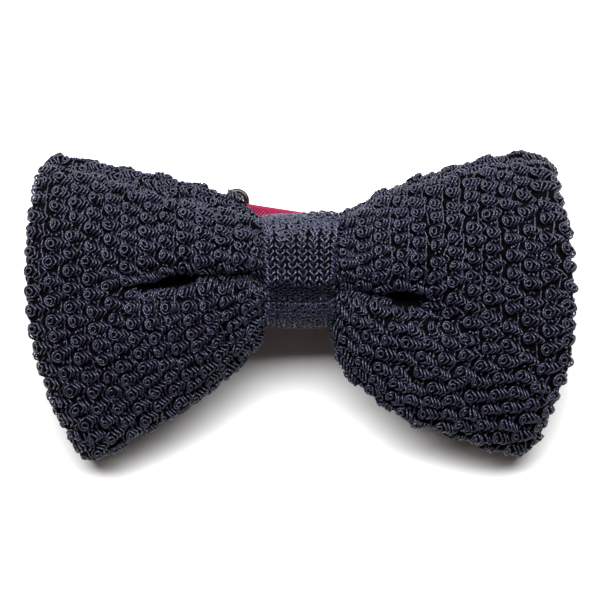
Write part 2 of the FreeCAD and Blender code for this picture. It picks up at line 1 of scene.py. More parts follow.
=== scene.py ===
import bpy
import json
import math
import numpy as np
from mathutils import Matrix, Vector

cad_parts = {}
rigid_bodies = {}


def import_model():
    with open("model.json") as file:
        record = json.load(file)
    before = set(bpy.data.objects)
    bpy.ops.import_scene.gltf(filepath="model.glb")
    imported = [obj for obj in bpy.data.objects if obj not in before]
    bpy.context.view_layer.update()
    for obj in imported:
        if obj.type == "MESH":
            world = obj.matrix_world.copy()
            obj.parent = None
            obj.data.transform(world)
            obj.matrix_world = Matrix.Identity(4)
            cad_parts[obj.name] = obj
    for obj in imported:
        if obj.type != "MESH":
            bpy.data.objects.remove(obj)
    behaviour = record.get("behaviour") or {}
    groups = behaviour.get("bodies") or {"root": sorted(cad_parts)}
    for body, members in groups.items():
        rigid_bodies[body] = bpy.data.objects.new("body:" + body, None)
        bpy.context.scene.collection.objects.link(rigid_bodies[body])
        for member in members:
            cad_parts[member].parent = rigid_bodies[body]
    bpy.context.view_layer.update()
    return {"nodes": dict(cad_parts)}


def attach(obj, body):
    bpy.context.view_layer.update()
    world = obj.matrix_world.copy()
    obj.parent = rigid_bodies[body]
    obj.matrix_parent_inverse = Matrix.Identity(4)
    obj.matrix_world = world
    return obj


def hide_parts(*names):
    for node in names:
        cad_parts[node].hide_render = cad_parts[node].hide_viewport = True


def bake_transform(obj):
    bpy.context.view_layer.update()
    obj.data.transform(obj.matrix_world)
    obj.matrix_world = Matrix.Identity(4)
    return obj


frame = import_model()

MM = 0.001
rng = np.random.default_rng(7)

# =====================================================================================
# the bow's middle surface, the same tables as the CAD model's, in millimetres
# =====================================================================================
OUT = {
    -1: {
        "TB": [(-0.6, 16.4), (-7.2, 17.6), (-9.8, 20.4), (-14.5, 23.4), (-22.0, 26.2), (-33.7, 29.0), (-41.7, 30.7),
               (-49.6, 32.4), (-53.2, 33.0), (-55.0, 32.1), (-56.0, 30.4)],
        "TF": [(-0.6, 16.0), (-7.2, 17.2), (-9.8, 18.6), (-18.0, 20.9), (-28.4, 23.1), (-42.0, 27.1), (-50.0, 29.6),
               (-53.8, 30.6), (-56.0, 30.4)],
        "BF": [(-0.6, -1.8), (-7.2, -3.2), (-9.6, -7.6), (-13.7, -13.2), (-20.4, -18.8), (-26.6, -23.3),
               (-34.6, -27.9), (-41.2, -31.7), (-44.4, -33.5), (-47.2, -32.8)],
        "BB": [(-0.6, -1.4), (-7.2, -2.8), (-9.6, -6.0), (-13.7, -11.3), (-20.4, -16.8), (-26.6, -21.4),
               (-34.6, -26.1), (-41.2, -30.1), (-44.6, -32.1), (-47.2, -32.8)],
        "O": [(-47.2, -32.8), (-48.8, -30.4), (-50.2, -26.9), (-52.2, -23.2), (-54.2, -17.4), (-56.5, -10.8),
              (-58.0, -2.5), (-58.8, 5.3), (-58.4, 13.9), (-57.6, 22.9), (-56.9, 27.4), (-56.0, 30.4)],
        "C": [(0.6, 5.5), (8.3, 5.2), (15, 6.4), (22, 6.2), (28, 4.8), (32.7, 3.5), (37, 2.8), (60, 2.8)],
        "DEPTH": [(0.6, 4.6), (8, 6.6), (15, 6.6), (24, 5.6), (31, 4.6), (34, 2.8), (38, 0.7), (43, 0), (60, 0)],
        "WIDE": [(0.6, 1.5), (8, 1.5), (20, 1.7), (28, 2.3), (32.7, 3.2), (38, 5.0), (60, 5.0)],
    },
    1: {
        "TB": [(0.6, 16.4), (7.2, 17.6), (9.8, 20.2), (14.4, 23.0), (22.8, 26.9), (31.3, 29.7), (39.2, 31.9),
               (47.2, 33.5), (50.9, 33.6), (53.6, 32.3), (55.0, 29.8)],
        "TF": [(0.6, 16.0), (7.2, 17.0), (9.8, 18.6), (15.0, 21.4), (21.8, 24.6), (32.0, 27.8), (43.6, 30.4),
               (50.5, 31.2), (53.6, 31.2), (55.0, 29.8)],
        "BF": [(0.6, -1.8), (6.8, -3.2), (8.2, -9.2), (10.4, -14.0), (15.0, -18.8), (23.8, -24.6), (32.6, -28.0),
               (41.7, -31.2), (46.6, -32.2), (50.2, -30.9)],
        "BB": [(0.6, -1.4), (6.8, -2.8), (8.4, -7.6), (10.8, -12.2), (15.4, -16.8), (23.8, -22.7), (32.6, -26.2),
               (41.7, -29.6), (46.6, -31.0), (50.2, -30.9)],
        "O": [(50.2, -30.9), (51.8, -28.4), (53.0, -25.4), (54.6, -21.1), (56.3, -16.5), (58.0, -11.7), (58.6, -4.8),
              (58.8, 3.2), (58.2, 12.3), (57.5, 17.5), (56.4, 22.8), (55.8, 26.6), (55.0, 29.8)],
        "C": [(0.6, 5.0), (8, 4.2), (14, 2.9), (20, 1.9), (26.2, 0.6), (30, -2.2), (34, -3), (60, -3)],
        "DEPTH": [(0.6, 4.6), (8, 6.6), (15, 6.4), (22, 5.6), (27, 4.8), (31, 2.4), (35, 0.5), (39, 0), (60, 0)],
        "WIDE": [(0.6, 1.5), (8, 1.5), (18, 1.9), (24, 3.2), (28, 4.0), (33, 5.5), (60, 5.5)],
    },
}
FRONT = [(0.6, 20.0), (8, 20.9), (18, 20.8), (30, 19.9), (42, 18.8), (52, 17.9), (60, 17.3)]
FRONT_DROP = [(0.6, 4.4), (8, 6.5), (20, 7.0), (35, 8.5), (46, 11.0), (60, 12.4)]
BACK = [(0.6, 12.0), (8, 11.8), (20, 12.1), (35, 12.7), (46, 13.1), (60, 13.3)]
BACK_DROP = [(0.6, 0.4), (8, 1.6), (20, 4.0), (35, 8.2), (46, 12.0), (60, 12.6)]
TURN = 3.2


def table(t, x):
    xs = np.array([p[0] for p in t], float)
    ys = np.array([p[1] for p in t], float)
    x = np.clip(x, xs[0], xs[-1])
    i = np.clip(np.searchsorted(xs, x, side="right") - 1, 0, len(xs) - 2)
    k = (x - xs[i]) / (xs[i + 1] - xs[i])
    k = k * k * (3 - 2 * k) * 0.35 + k * 0.65
    return ys[i] + (ys[i + 1] - ys[i]) * k


def along(points, f):
    p = np.array(points, float)
    seg = np.hypot(*(p[1:] - p[:-1]).T)
    cum = np.concatenate([[0], np.cumsum(seg)])
    f = np.atleast_1d(np.clip(f, 0, 1)) * cum[-1]
    i = np.clip(np.searchsorted(cum, f, side="left") - 1, 0, len(p) - 2)
    k = ((f - cum[i]) / seg[i])[:, None]
    ext = np.vstack([2 * p[0] - p[1], p, 2 * p[-1] - p[-2]])
    segs = np.concatenate([[seg[0]], seg, [seg[-1]]])
    p0, p1, p2, p3 = ext[i], ext[i + 1], ext[i + 2], ext[i + 3]
    s0, s1, s2 = segs[i][:, None], segs[i + 1][:, None], segs[i + 2][:, None]
    m1 = s1 * (p2 - p0) / (s1 + s0)
    m2 = s1 * (p3 - p1) / (s1 + s2)
    k2, k3 = k * k, k * k * k
    return (2 * k3 - 3 * k2 + 1) * p1 + (k3 - 2 * k2 + k) * m1 + (-2 * k3 + 3 * k2) * p2 + (k3 - k2) * m2


def wing_surface(side, deep=1.0, tight=1.0, nu=190, nphi=26, ns=320):
    """Fine grid of one loop's middle surface: front layer out from the knot, the turn, the back layer in."""
    w = OUT[side]
    near = 1 - TURN / 52.0
    us = np.linspace(0, near, nu)
    phi = np.radians(np.linspace(0, 90, nphi)[1:])
    U = np.concatenate([us, near + (1 - near) * np.sin(phi), (near + (1 - near) * np.sin(phi))[-2::-1], us[::-1]])
    O = np.concatenate([np.ones(nu), np.cos(phi), -np.cos(phi)[-2::-1], -np.ones(nu)])
    half = nu + len(phi)
    s = np.linspace(0, 1, ns)
    G = np.zeros((len(U), ns, 3))
    for layer, rows in (("F", slice(0, half)), ("B", slice(half, len(U)))):
        u = U[rows]
        top, bottom = w["TF" if layer == "F" else "TB"], w["BF" if layer == "F" else "BB"]
        b, t, o = along(bottom, u), along(top, u), along(w["O"], s)
        k0, k1, o0, o1 = (np.array(q, float) for q in (bottom[0], top[0], w["O"][0], w["O"][-1]))
        kn = k0 + (k1 - k0) * s[:, None]
        uu, ss = u[:, None, None], s[None, :, None]
        G[rows, :, :2] = ((1 - uu) * kn[None] + uu * o[None] + (1 - ss) * b[:, None] + ss * t[:, None]
                          - ((1 - uu) * (1 - ss) * k0 + (1 - uu) * ss * k1 + uu * (1 - ss) * o0 + uu * ss * o1))
    ax = np.abs(G[..., 0])
    S = np.broadcast_to(s, ax.shape)
    p = np.abs((S - 0.53) / np.where(S < 0.53, 0.53, 0.47))
    back = table(BACK, ax) - table(BACK_DROP, ax) * p ** 3.2
    front = table(FRONT, ax) - table(FRONT_DROP, ax) * p ** 3.0
    gap = (G[..., 1] - table(w["C"], ax)) / (table(w["WIDE"], ax) * tight)
    front = front - deep * table(w["DEPTH"], ax) * np.exp(-np.abs(gap) ** 1.6)
    mid, halfgap = (front + back) / 2, (front - back) / 2
    G[..., 2] = mid + halfgap * O[:, None]
    return G


class Cloth:
    """A surface read by distance along the strip (mm) and fraction across it, with unit normals out of the loop."""

    def __init__(self, G, rows_n=520, cols_n=420, closed_w=False):
        across = np.linalg.norm(np.diff(G, axis=1), axis=2)
        cum = np.concatenate([np.zeros((len(G), 1)), np.cumsum(across, axis=1)], axis=1)
        self.width = cum[:, -1].copy()
        wq = np.linspace(0, 1, cols_n)
        R = np.zeros((len(G), cols_n, 3))
        idx = np.linspace(0, 1, G.shape[1])
        for i in range(len(G)):
            f = cum[i] / cum[i, -1]
            pos = np.interp(wq, f, idx) * (G.shape[1] - 1)
            j = np.clip(pos.astype(int), 0, G.shape[1] - 2)
            k = (pos - j)[:, None]
            R[i] = G[i, j] * (1 - k) + G[i, j + 1] * k
        step = np.linalg.norm(np.diff(R, axis=0), axis=2).mean(axis=1)
        a = np.concatenate([[0], np.cumsum(step)])
        self.length = float(a[-1])
        aq = np.linspace(0, a[-1], rows_n)
        pos = np.interp(aq, a, np.arange(len(a)))
        i = np.clip(pos.astype(int), 0, len(a) - 2)
        k = (pos - i)[:, None, None]
        self.P = R[i] * (1 - k) + R[i + 1] * k
        self.W = np.interp(aq, a, self.width)
        da = np.gradient(self.P, axis=0)
        dw = np.gradient(self.P, axis=1)
        n = np.cross(da, dw)
        n /= np.linalg.norm(n, axis=2, keepdims=True) + 1e-12
        self.N = n

    def flip(self):
        self.N = -self.N
        return self

    def at(self, a, w):
        ra = np.clip(a / self.length, 0, 1) * (self.P.shape[0] - 1)
        over_w = w - np.clip(w, 0, 1)
        rw = np.clip(w, 0, 1) * (self.P.shape[1] - 1)
        i = np.clip(ra.astype(int), 0, self.P.shape[0] - 2)
        j = np.clip(rw.astype(int), 0, self.P.shape[1] - 2)
        x, y = (ra - i)[..., None], (rw - j)[..., None]
        P, N = self.P, self.N
        p = (P[i, j] * (1 - x) * (1 - y) + P[i + 1, j] * x * (1 - y) + P[i, j + 1] * (1 - x) * y + P[i + 1, j + 1] * x * y)
        n = (N[i, j] * (1 - x) * (1 - y) + N[i + 1, j] * x * (1 - y) + N[i, j + 1] * (1 - x) * y + N[i + 1, j + 1] * x * y)
        n /= np.linalg.norm(n, axis=-1, keepdims=True) + 1e-12
        # past the strip's edges the point goes on along the edge's own direction
        edge = (P[i, j + 1] - P[i, j])
        edge /= np.linalg.norm(edge, axis=-1, keepdims=True) + 1e-12
        width = np.interp(a, np.linspace(0, self.length, len(self.W)), self.W)
        return p + edge * (over_w * width)[..., None], n

    def width_at(self, a):
        return np.interp(a, np.linspace(0, self.length, len(self.W)), self.W)


# =====================================================================================
# meshes
# =====================================================================================
def mesh_from(name, verts, quads, uv=None, bake_uv=None, caps=None, smooth=True):
    """verts in mm. quads (n,4). uv, bake_uv: per-loop arrays for the quads, in order. caps: list of (m,k) ngon arrays."""
    me = bpy.data.meshes.new(name)
    verts = np.asarray(verts, np.float32) * MM
    quads = np.asarray(quads, np.int32)
    loops = quads.reshape(-1)
    starts = np.arange(0, len(loops), 4, dtype=np.int32)
    totals = np.full(len(quads), 4, np.int32)
    if caps is not None and len(caps):
        k = caps.shape[1]
        starts = np.concatenate([starts, len(loops) + np.arange(0, caps.size, k, dtype=np.int32)])
        totals = np.concatenate([totals, np.full(len(caps), k, np.int32)])
        loops = np.concatenate([loops, caps.reshape(-1).astype(np.int32)])
    me.vertices.add(len(verts))
    me.vertices.foreach_set("co", verts.reshape(-1))
    me.loops.add(len(loops))
    me.loops.foreach_set("vertex_index", loops)
    me.polygons.add(len(starts))
    me.polygons.foreach_set("loop_start", starts)
    me.polygons.foreach_set("loop_total", totals)
    for label, data in (("yarn", uv), ("OFBake", bake_uv)):
        if data is not None:
            layer = me.uv_layers.new(name=label)
            full = np.zeros((len(loops), 2), np.float32)
            full[:len(data)] = data
            layer.data.foreach_set("uv", full.reshape(-1))
    me.update(calc_edges=True)
    me.polygons.foreach_set("use_smooth", np.full(len(starts), smooth, bool))
    me.validate()
    ob = bpy.data.objects.new(name, me)
    bpy.context.scene.collection.objects.link(ob)
    return ob


def tube_arrays(P, up, r, sides=7, phase=0.0):
    """M polylines of N points each, swept to tubes. P (M,N,3), up (M,N,3), r scalar or (M,N)."""
    M, N, _ = P.shape
    T = np.gradient(P, axis=1)
    T /= np.linalg.norm(T, axis=2, keepdims=True) + 1e-12
    S = np.cross(T, up)
    S /= np.linalg.norm(S, axis=2, keepdims=True) + 1e-12
    U = np.cross(S, T)
    r = np.broadcast_to(np.asarray(r, float), (M, N)).copy()
    ang = np.arange(sides) * 2 * np.pi / sides + phase
    ca, sa = np.cos(ang), np.sin(ang)
    V = P[:, :, None] + r[:, :, None, None] * (S[:, :, None] * ca[None, None, :, None] + U[:, :, None] * sa[None, None, :, None])
    verts = V.reshape(-1, 3)
    m = np.arange(M)[:, None, None] * N * sides
    n = np.arange(N - 1)[None, :, None] * sides
    k = np.arange(sides)[None, None, :]
    k2 = (k + 1) % sides
    a, b, c, d = m + n + k, m + n + k2, m + n + sides + k2, m + n + sides + k
    quads = np.stack([a, b, c, d], axis=-1).reshape(-1, 4)
    length = np.concatenate([np.zeros((M, 1)), np.cumsum(np.linalg.norm(np.diff(P, axis=1), axis=2), axis=1)], axis=1)
    u0 = np.broadcast_to(length[:, :-1, None], (M, N - 1, sides))
    u1 = np.broadcast_to(length[:, 1:, None], (M, N - 1, sides))
    v0 = np.broadcast_to(k / sides, (M, N - 1, sides))
    v1 = v0 + 1.0 / sides
    uv = np.stack([np.stack([u0, v0], -1), np.stack([u0, v1], -1), np.stack([u1, v1], -1), np.stack([u1, v0], -1)], axis=3)
    first = np.arange(M)[:, None] * N * sides + np.arange(sides)[None, ::-1]
    last = np.arange(M)[:, None] * N * sides + (N - 1) * sides + np.arange(sides)[None, :]
    caps = np.concatenate([first, last])
    frac0 = np.broadcast_to((np.arange(N - 1) / (N - 1))[None, :, None], (M, N - 1, sides))
    frac1 = frac0 + 1.0 / (N - 1)
    fu = np.stack([np.stack([frac0, v0], -1), np.stack([frac0, v1], -1), np.stack([frac1, v1], -1), np.stack([frac1, v0], -1)], axis=3)
    return verts, quads, uv.reshape(-1, 2), fu.reshape(M, -1, 2), caps


class Yarns:
    """Collects swept yarns, then writes them as one mesh."""

    def __init__(self, cells):
        self.parts, self.cells = [], cells

    def add(self, P, up, r, sides, cell, slot_box):
        """cell (M,2): which bake cell each yarn is in; slot_box: its own corner of that cell."""
        P = np.array(P, float)
        P[..., 2] = np.maximum(P[..., 2], 0.26)
        v, q, uv, fu, caps = tube_arrays(P, up, r, sides)
        x0, y0, x1, y1 = slot_box
        cx, cy = self.cells
        bu = (cell[:, None, 0] + x0 + (x1 - x0) * (0.04 + 0.92 * fu[..., 0])) / cx
        bv = (cell[:, None, 1] + y0 + (y1 - y0) * (0.06 + 0.88 * fu[..., 1])) / cy
        # every yarn starts its twist at its own place
        uv = uv.reshape(P.shape[0], -1, 2).copy()
        uv[..., 0] += (np.arange(P.shape[0])[:, None] * 0.731) % 5.0
        self.parts.append((v, q, uv.reshape(-1, 2), np.stack([bu, bv], -1).reshape(-1, 2), caps))

    def mesh(self, name):
        base, V, Q, A, B, C = 0, [], [], [], [], []
        for v, q, uv, bu, caps in self.parts:
            V.append(v); Q.append(q + base); A.append(uv); B.append(bu); C.append(caps + base)
            base += len(v)
        caps = None
        if len({c.shape[1] for c in C}) == 1:
            caps = np.concatenate(C)
        return mesh_from(name, np.concatenate(V), np.concatenate(Q), np.concatenate(A), np.concatenate(B), caps)


# =====================================================================================
# materials
# =====================================================================================
def new_material(name):
    m = bpy.data.materials.new(name)
    m.use_nodes = True
    nt = m.node_tree
    for n in list(nt.nodes):
        nt.nodes.remove(n)
    out = nt.nodes.new("ShaderNodeOutputMaterial")
    p = nt.nodes.new("ShaderNodeBsdfPrincipled")
    nt.links.new(p.outputs[0], out.inputs[0])
    return m, nt, p


def node(nt, kind, **kw):
    n = nt.nodes.new(kind)
    for k, v in kw.items():
        if k == "inputs":
            for i, val in v.items():
                n.inputs[i].default_value = val
        else:
            setattr(n, k, v)
    return n


def ramp(nt, stops, interp="LINEAR"):
    r = nt.nodes.new("ShaderNodeValToRGB")
    r.color_ramp.interpolation = interp
    e = r.color_ramp.elements
    while len(e) > 1:
        e.remove(e[-1])
    e[0].position, e[0].color = stops[0][0], (*stops[0][1], 1)
    for pos, col in stops[1:]:
        x = e.new(pos)
        x.color = (*col, 1)
    return r


def yarn_material(name, dark, mid, light, rough=0.46, twist=0.62, sheen=0.0, strands=3.0, spec=0.3):
    """Plied filament yarn: the plies wind round it in relief, and its colour is darker in the grooves between the plies
    and lighter on their crests, as painted shade and painted light of that relief.
    """
    m, nt, p = new_material(name)
    uv = node(nt, "ShaderNodeUVMap", uv_map="yarn")
    sep = node(nt, "ShaderNodeSeparateXYZ")
    nt.links.new(uv.outputs[0], sep.inputs[0])
    along_ = node(nt, "ShaderNodeMath", operation="MULTIPLY", inputs={1: 1.0 / twist})
    nt.links.new(sep.outputs[0], along_.inputs[0])
    add = node(nt, "ShaderNodeMath", operation="MULTIPLY_ADD", inputs={1: strands})
    nt.links.new(sep.outputs[1], add.inputs[0])
    nt.links.new(along_.outputs[0], add.inputs[2])
    turn = node(nt, "ShaderNodeMath", operation="MULTIPLY", inputs={1: 2 * math.pi})
    nt.links.new(add.outputs[0], turn.inputs[0])
    wave = node(nt, "ShaderNodeMath", operation="SINE")
    nt.links.new(turn.outputs[0], wave.inputs[0])
    ridge = node(nt, "ShaderNodeMath", operation="MULTIPLY_ADD", inputs={1: 0.5, 2: 0.5})
    nt.links.new(wave.outputs[0], ridge.inputs[0])
    coord = node(nt, "ShaderNodeTexCoord")
    fine = node(nt, "ShaderNodeTexNoise", inputs={"Scale": 2600.0, "Detail": 4.0, "Roughness": 0.65})
    broad = node(nt, "ShaderNodeTexNoise", inputs={"Scale": 150.0, "Detail": 3.0})
    nt.links.new(coord.outputs["Object"], fine.inputs["Vector"])
    nt.links.new(coord.outputs["Object"], broad.inputs["Vector"])
    mix = node(nt, "ShaderNodeMath", operation="MULTIPLY_ADD", inputs={1: 0.55})
    nt.links.new(ridge.outputs[0], mix.inputs[0])
    fb = node(nt, "ShaderNodeMath", operation="MULTIPLY", inputs={1: 0.45})
    nt.links.new(fine.outputs[0], fb.inputs[0])
    nt.links.new(fb.outputs[0], mix.inputs[2])
    shift = node(nt, "ShaderNodeMath", operation="MULTIPLY_ADD", inputs={1: 0.5, 2: -0.25})
    nt.links.new(broad.outputs[0], shift.inputs[0])
    tone = node(nt, "ShaderNodeMath", operation="ADD")
    nt.links.new(mix.outputs[0], tone.inputs[0])
    nt.links.new(shift.outputs[0], tone.inputs[1])
    # the ramp darkens the grooves between the plies and lightens their crests (painted shade and painted light); the
    # noise adds random tone
    r = ramp(nt, [(0.0, dark), (0.5, mid), (1.0, light)])
    nt.links.new(tone.outputs[0], r.inputs[0])
    nt.links.new(r.outputs[0], p.inputs["Base Color"])
    rr = node(nt, "ShaderNodeMapRange", inputs={"To Min": rough + 0.14, "To Max": rough - 0.08})
    nt.links.new(mix.outputs[0], rr.inputs[0])
    nt.links.new(rr.outputs[0], p.inputs["Roughness"])
    b = node(nt, "ShaderNodeBump", inputs={"Strength": 0.55, "Distance": 0.00012})
    nt.links.new(mix.outputs[0], b.inputs["Height"])
    nt.links.new(b.outputs[0], p.inputs["Normal"])
    p.inputs["Sheen Weight"].default_value = sheen
    p.inputs["Sheen Roughness"].default_value = 0.35
    p.inputs["Specular IOR Level"].default_value = spec
    p.inputs["Specular Tint"].default_value = (0.74, 0.80, 1.0, 1)
    return m


def painted_shade_ground_material(name, dark, light):
    """The knit's ground under the bobbles, coloured near-black, darker than its yarn: painted shade in the gaps."""
    m, nt, p = new_material(name)
    coord = node(nt, "ShaderNodeTexCoord")
    v = node(nt, "ShaderNodeTexVoronoi", inputs={"Scale": 900.0, "Randomness": 0.7})
    n = node(nt, "ShaderNodeTexNoise", inputs={"Scale": 1500.0, "Detail": 3.0})
    nt.links.new(coord.outputs["Object"], v.inputs["Vector"])
    nt.links.new(coord.outputs["Object"], n.inputs["Vector"])
    a = node(nt, "ShaderNodeMath", operation="MULTIPLY")
    nt.links.new(v.outputs[0], a.inputs[0])
    nt.links.new(n.outputs[0], a.inputs[1])
    r = ramp(nt, [(0.0, dark), (0.6, light)])
    nt.links.new(a.outputs[0], r.inputs[0])
    nt.links.new(r.outputs[0], p.inputs["Base Color"])
    rr = node(nt, "ShaderNodeMapRange", inputs={"To Min": 0.75, "To Max": 0.95})
    nt.links.new(n.outputs[0], rr.inputs[0])
    nt.links.new(rr.outputs[0], p.inputs["Roughness"])
    b = node(nt, "ShaderNodeBump", inputs={"Strength": 0.8, "Distance": 0.0003})
    nt.links.new(a.outputs[0], b.inputs["Height"])
    nt.links.new(b.outputs[0], p.inputs["Normal"])
    p.inputs["Specular IOR Level"].default_value = 0.02
    return m


NAVY = yarn_material("navy_yarn", (0.0022, 0.0019, 0.0031), (0.0086, 0.0083, 0.0168), (0.0272, 0.0274, 0.0595), rough=0.36, sheen=0.0, spec=0.50)
# a much darker copy of the navy yarn for the loops in the tuck below the knot's bulge: painted shade
NAVY_TUCK_PAINTED_SHADE = yarn_material("navy_yarn_tucked_painted_shade", (0.0006, 0.0006, 0.0010), (0.0022, 0.0022, 0.0040), (0.0075, 0.0078, 0.0150), rough=0.50, sheen=0.0, spec=0.07)
# a darker copy of the navy yarn for the loops at the knot's foot and on its underside: painted shade
NAVY_FOOT_PAINTED_SHADE = yarn_material("navy_yarn_low_painted_shade", (0.0012, 0.0012, 0.0024), (0.0050, 0.0051, 0.0110), (0.0150, 0.0158, 0.0350), rough=0.42, sheen=0.0, spec=0.22)
# a lighter copy of the navy yarn for the knot's stitches: painted light
NAVY_KNOT_PAINTED_LIGHT = yarn_material("navy_yarn_knot_painted_light", (0.0024, 0.0021, 0.0036), (0.0116, 0.0115, 0.0244), (0.0425, 0.0430, 0.0950), rough=0.33, sheen=0.0, spec=0.62)
# the knit's ground, its knobs and edge cords: near-black, darker than the navy yarn itself, as painted shade in the
# gaps
NAVY_GROUND_PAINTED_SHADE = painted_shade_ground_material("navy_ground_painted_shade", (0.0008, 0.0006, 0.0006), (0.0021, 0.0017, 0.0016))
NAVY_THREAD = yarn_material("navy_thread", (0.0025, 0.0025, 0.0042), (0.0078, 0.0080, 0.0140), (0.022, 0.023, 0.040), twist=0.4, sheen=0.0, spec=0.4)
CRIMSON_THREAD = yarn_material("crimson_thread", (0.10, 0.004, 0.018), (0.26, 0.010, 0.055), (0.48, 0.06, 0.14), twist=0.4, sheen=0.0, spec=0.2)


def strap_material():
    """Woven band: fine diagonal twill, its colour lighter where the weave's height is raised and darker where it is
    low, plain darker selvedges. UV: mm along, mm across from the middle.
    """
    m, nt, p = new_material("crimson_webbing")
    uv = node(nt, "ShaderNodeUVMap", uv_map="yarn")
    sep = node(nt, "ShaderNodeSeparateXYZ")
    nt.links.new(uv.outputs[0], sep.inputs[0])
    X, Y = sep.outputs[0], sep.outputs[1]

    def mul_add(src, k, c=0.0, other=None):
        n = node(nt, "ShaderNodeMath", operation="MULTIPLY_ADD", inputs={1: k, 2: c})
        nt.links.new(src, n.inputs[0])
        if other is not None:
            nt.links.new(other, n.inputs[2])
        return n.outputs[0]

    def sine(src):
        n = node(nt, "ShaderNodeMath", operation="SINE")
        nt.links.new(src, n.inputs[0])
        return n.outputs[0]

    weft = sine(mul_add(Y, 2 * math.pi / 0.30))              # picks run along the band's width
    warp = sine(mul_add(X, 2 * math.pi / 0.42))
    diag = sine(mul_add(X, 2 * math.pi / 0.66, 0.0, mul_add(Y, -2 * math.pi / 0.90)))
    prod = node(nt, "ShaderNodeMath", operation="MULTIPLY")
    nt.links.new(weft, prod.inputs[0])
    nt.links.new(warp, prod.inputs[1])
    h1 = mul_add(prod.outputs[0], 0.22, 0.5)
    height = mul_add(diag, 0.28, 0.0, h1)
    coord = node(nt, "ShaderNodeTexCoord")
    noise = node(nt, "ShaderNodeTexNoise", inputs={"Scale": 2200.0, "Detail": 3.0})
    nt.links.new(coord.outputs["Object"], noise.inputs["Vector"])
    # colour follows the weave's height: lighter on the raised threads, darker in the low points
    tone = mul_add(noise.outputs[0], 0.35, 0.0, mul_add(height, 1.0, -0.17))
    r = ramp(nt, [(0.0, (0.060, 0.0005, 0.008)), (0.45, (0.145, 0.0010, 0.022)), (0.68, (0.205, 0.0022, 0.035)),
                  (0.86, (0.38, 0.024, 0.105)), (1.0, (0.56, 0.090, 0.21))])
    nt.links.new(tone, r.inputs[0])
    edge = node(nt, "ShaderNodeMath", operation="ABSOLUTE")
    nt.links.new(Y, edge.inputs[0])
    sel = node(nt, "ShaderNodeMapRange", inputs={"From Min": 6.35, "From Max": 6.65})
    nt.links.new(edge.outputs[0], sel.inputs[0])
    cord = sine(mul_add(X, 2 * math.pi / 0.34))
    rs = ramp(nt, [(0.0, (0.13, 0.003, 0.020)), (1.0, (0.25, 0.010, 0.050))])
    nt.links.new(mul_add(cord, 0.5, 0.5), rs.inputs[0])
    mix = node(nt, "ShaderNodeMix", data_type="RGBA")
    nt.links.new(sel.outputs[0], mix.inputs[0])
    nt.links.new(r.outputs[0], mix.inputs[6])
    nt.links.new(rs.outputs[0], mix.inputs[7])
    nt.links.new(mix.outputs[2], p.inputs["Base Color"])
    rr = node(nt, "ShaderNodeMapRange", inputs={"To Min": 0.62, "To Max": 0.38})
    nt.links.new(height, rr.inputs[0])
    nt.links.new(rr.outputs[0], p.inputs["Roughness"])
    b = node(nt, "ShaderNodeBump", inputs={"Strength": 0.6, "Distance": 0.00010})
    nt.links.new(height, b.inputs["Height"])
    nt.links.new(b.outputs[0], p.inputs["Normal"])
    p.inputs["Specular IOR Level"].default_value = 0.12
    return m


CRIMSON = strap_material()


def lacquer_material():
    m, nt, p = new_material("black_lacquer")
    coord = node(nt, "ShaderNodeTexCoord")
    n = node(nt, "ShaderNodeTexNoise", inputs={"Scale": 700.0, "Detail": 5.0})
    w = node(nt, "ShaderNodeTexNoise", inputs={"Scale": 120.0, "Detail": 2.0})
    nt.links.new(coord.outputs["Object"], n.inputs["Vector"])
    nt.links.new(coord.outputs["Object"], w.inputs["Vector"])
    r = ramp(nt, [(0.3, (0.0022, 0.0018, 0.0018)), (0.7, (0.006, 0.0055, 0.0055))])
    nt.links.new(n.outputs[0], r.inputs[0])
    nt.links.new(r.outputs[0], p.inputs["Base Color"])
    geo = node(nt, "ShaderNodeNewGeometry")
    wear = node(nt, "ShaderNodeMapRange", inputs={"From Min": 0.52, "From Max": 0.62, "To Min": 0.16, "To Max": 0.34})
    mx = node(nt, "ShaderNodeMath", operation="MULTIPLY_ADD", inputs={1: 0.35})
    nt.links.new(w.outputs[0], mx.inputs[0])
    sc = node(nt, "ShaderNodeMath", operation="MULTIPLY", inputs={1: 0.7})
    nt.links.new(geo.outputs["Pointiness"], sc.inputs[0])
    nt.links.new(sc.outputs[0], mx.inputs[2])
    nt.links.new(mx.outputs[0], wear.inputs[0])
    nt.links.new(wear.outputs[0], p.inputs["Roughness"])
    b = node(nt, "ShaderNodeBump", inputs={"Strength": 0.15, "Distance": 0.00005})
    nt.links.new(n.outputs[0], b.inputs["Height"])
    nt.links.new(b.outputs[0], p.inputs["Normal"])
    p.inputs["Specular IOR Level"].default_value = 0.35
    return m


BLACK = lacquer_material()


def dress(ob, material, body=None):
    ob.data.materials.clear()
    ob.data.materials.append(material)
    if body:
        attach(ob, body)
    return ob


# =====================================================================================
# bobble knit
# =====================================================================================
PITCH = 4.15          # between columns, along the strip
ROWS = 17.5           # across the strip
FULL = 3.7 * ROWS     # the strip's width where the rows stand at their full pitch


def ring_path(n=19):
    """The loop round a bobble's hole, in mm along, across and up. Its two ends meet and dive."""
    f = np.linspace(0, 1, n)
    ang = np.radians(205) + 2 * np.pi * 1.05 * f
    rad = 0.62 + 0.05 * f
    h = 1.26 + 0.10 * np.cos(ang - 2.6)
    h = h - 0.6 * np.clip((0.08 - f) / 0.08, 0, 1) - 0.6 * np.clip((f - 0.93) / 0.07, 0, 1)
    return rad * np.cos(ang), rad * np.sin(ang) * 1.06, h


def arc_path(n=17):
    """The loop round the ring's back, open towards the nested loops."""
    q = np.linspace(-1, 1, n)
    ang = np.pi + np.radians(128) * q
    rad = 1.03 + 0.16 * np.abs(q) ** 3
    return rad * np.cos(ang), rad * np.sin(ang) * 1.06, 1.16 - 1.02 * np.abs(q) ** 3.0


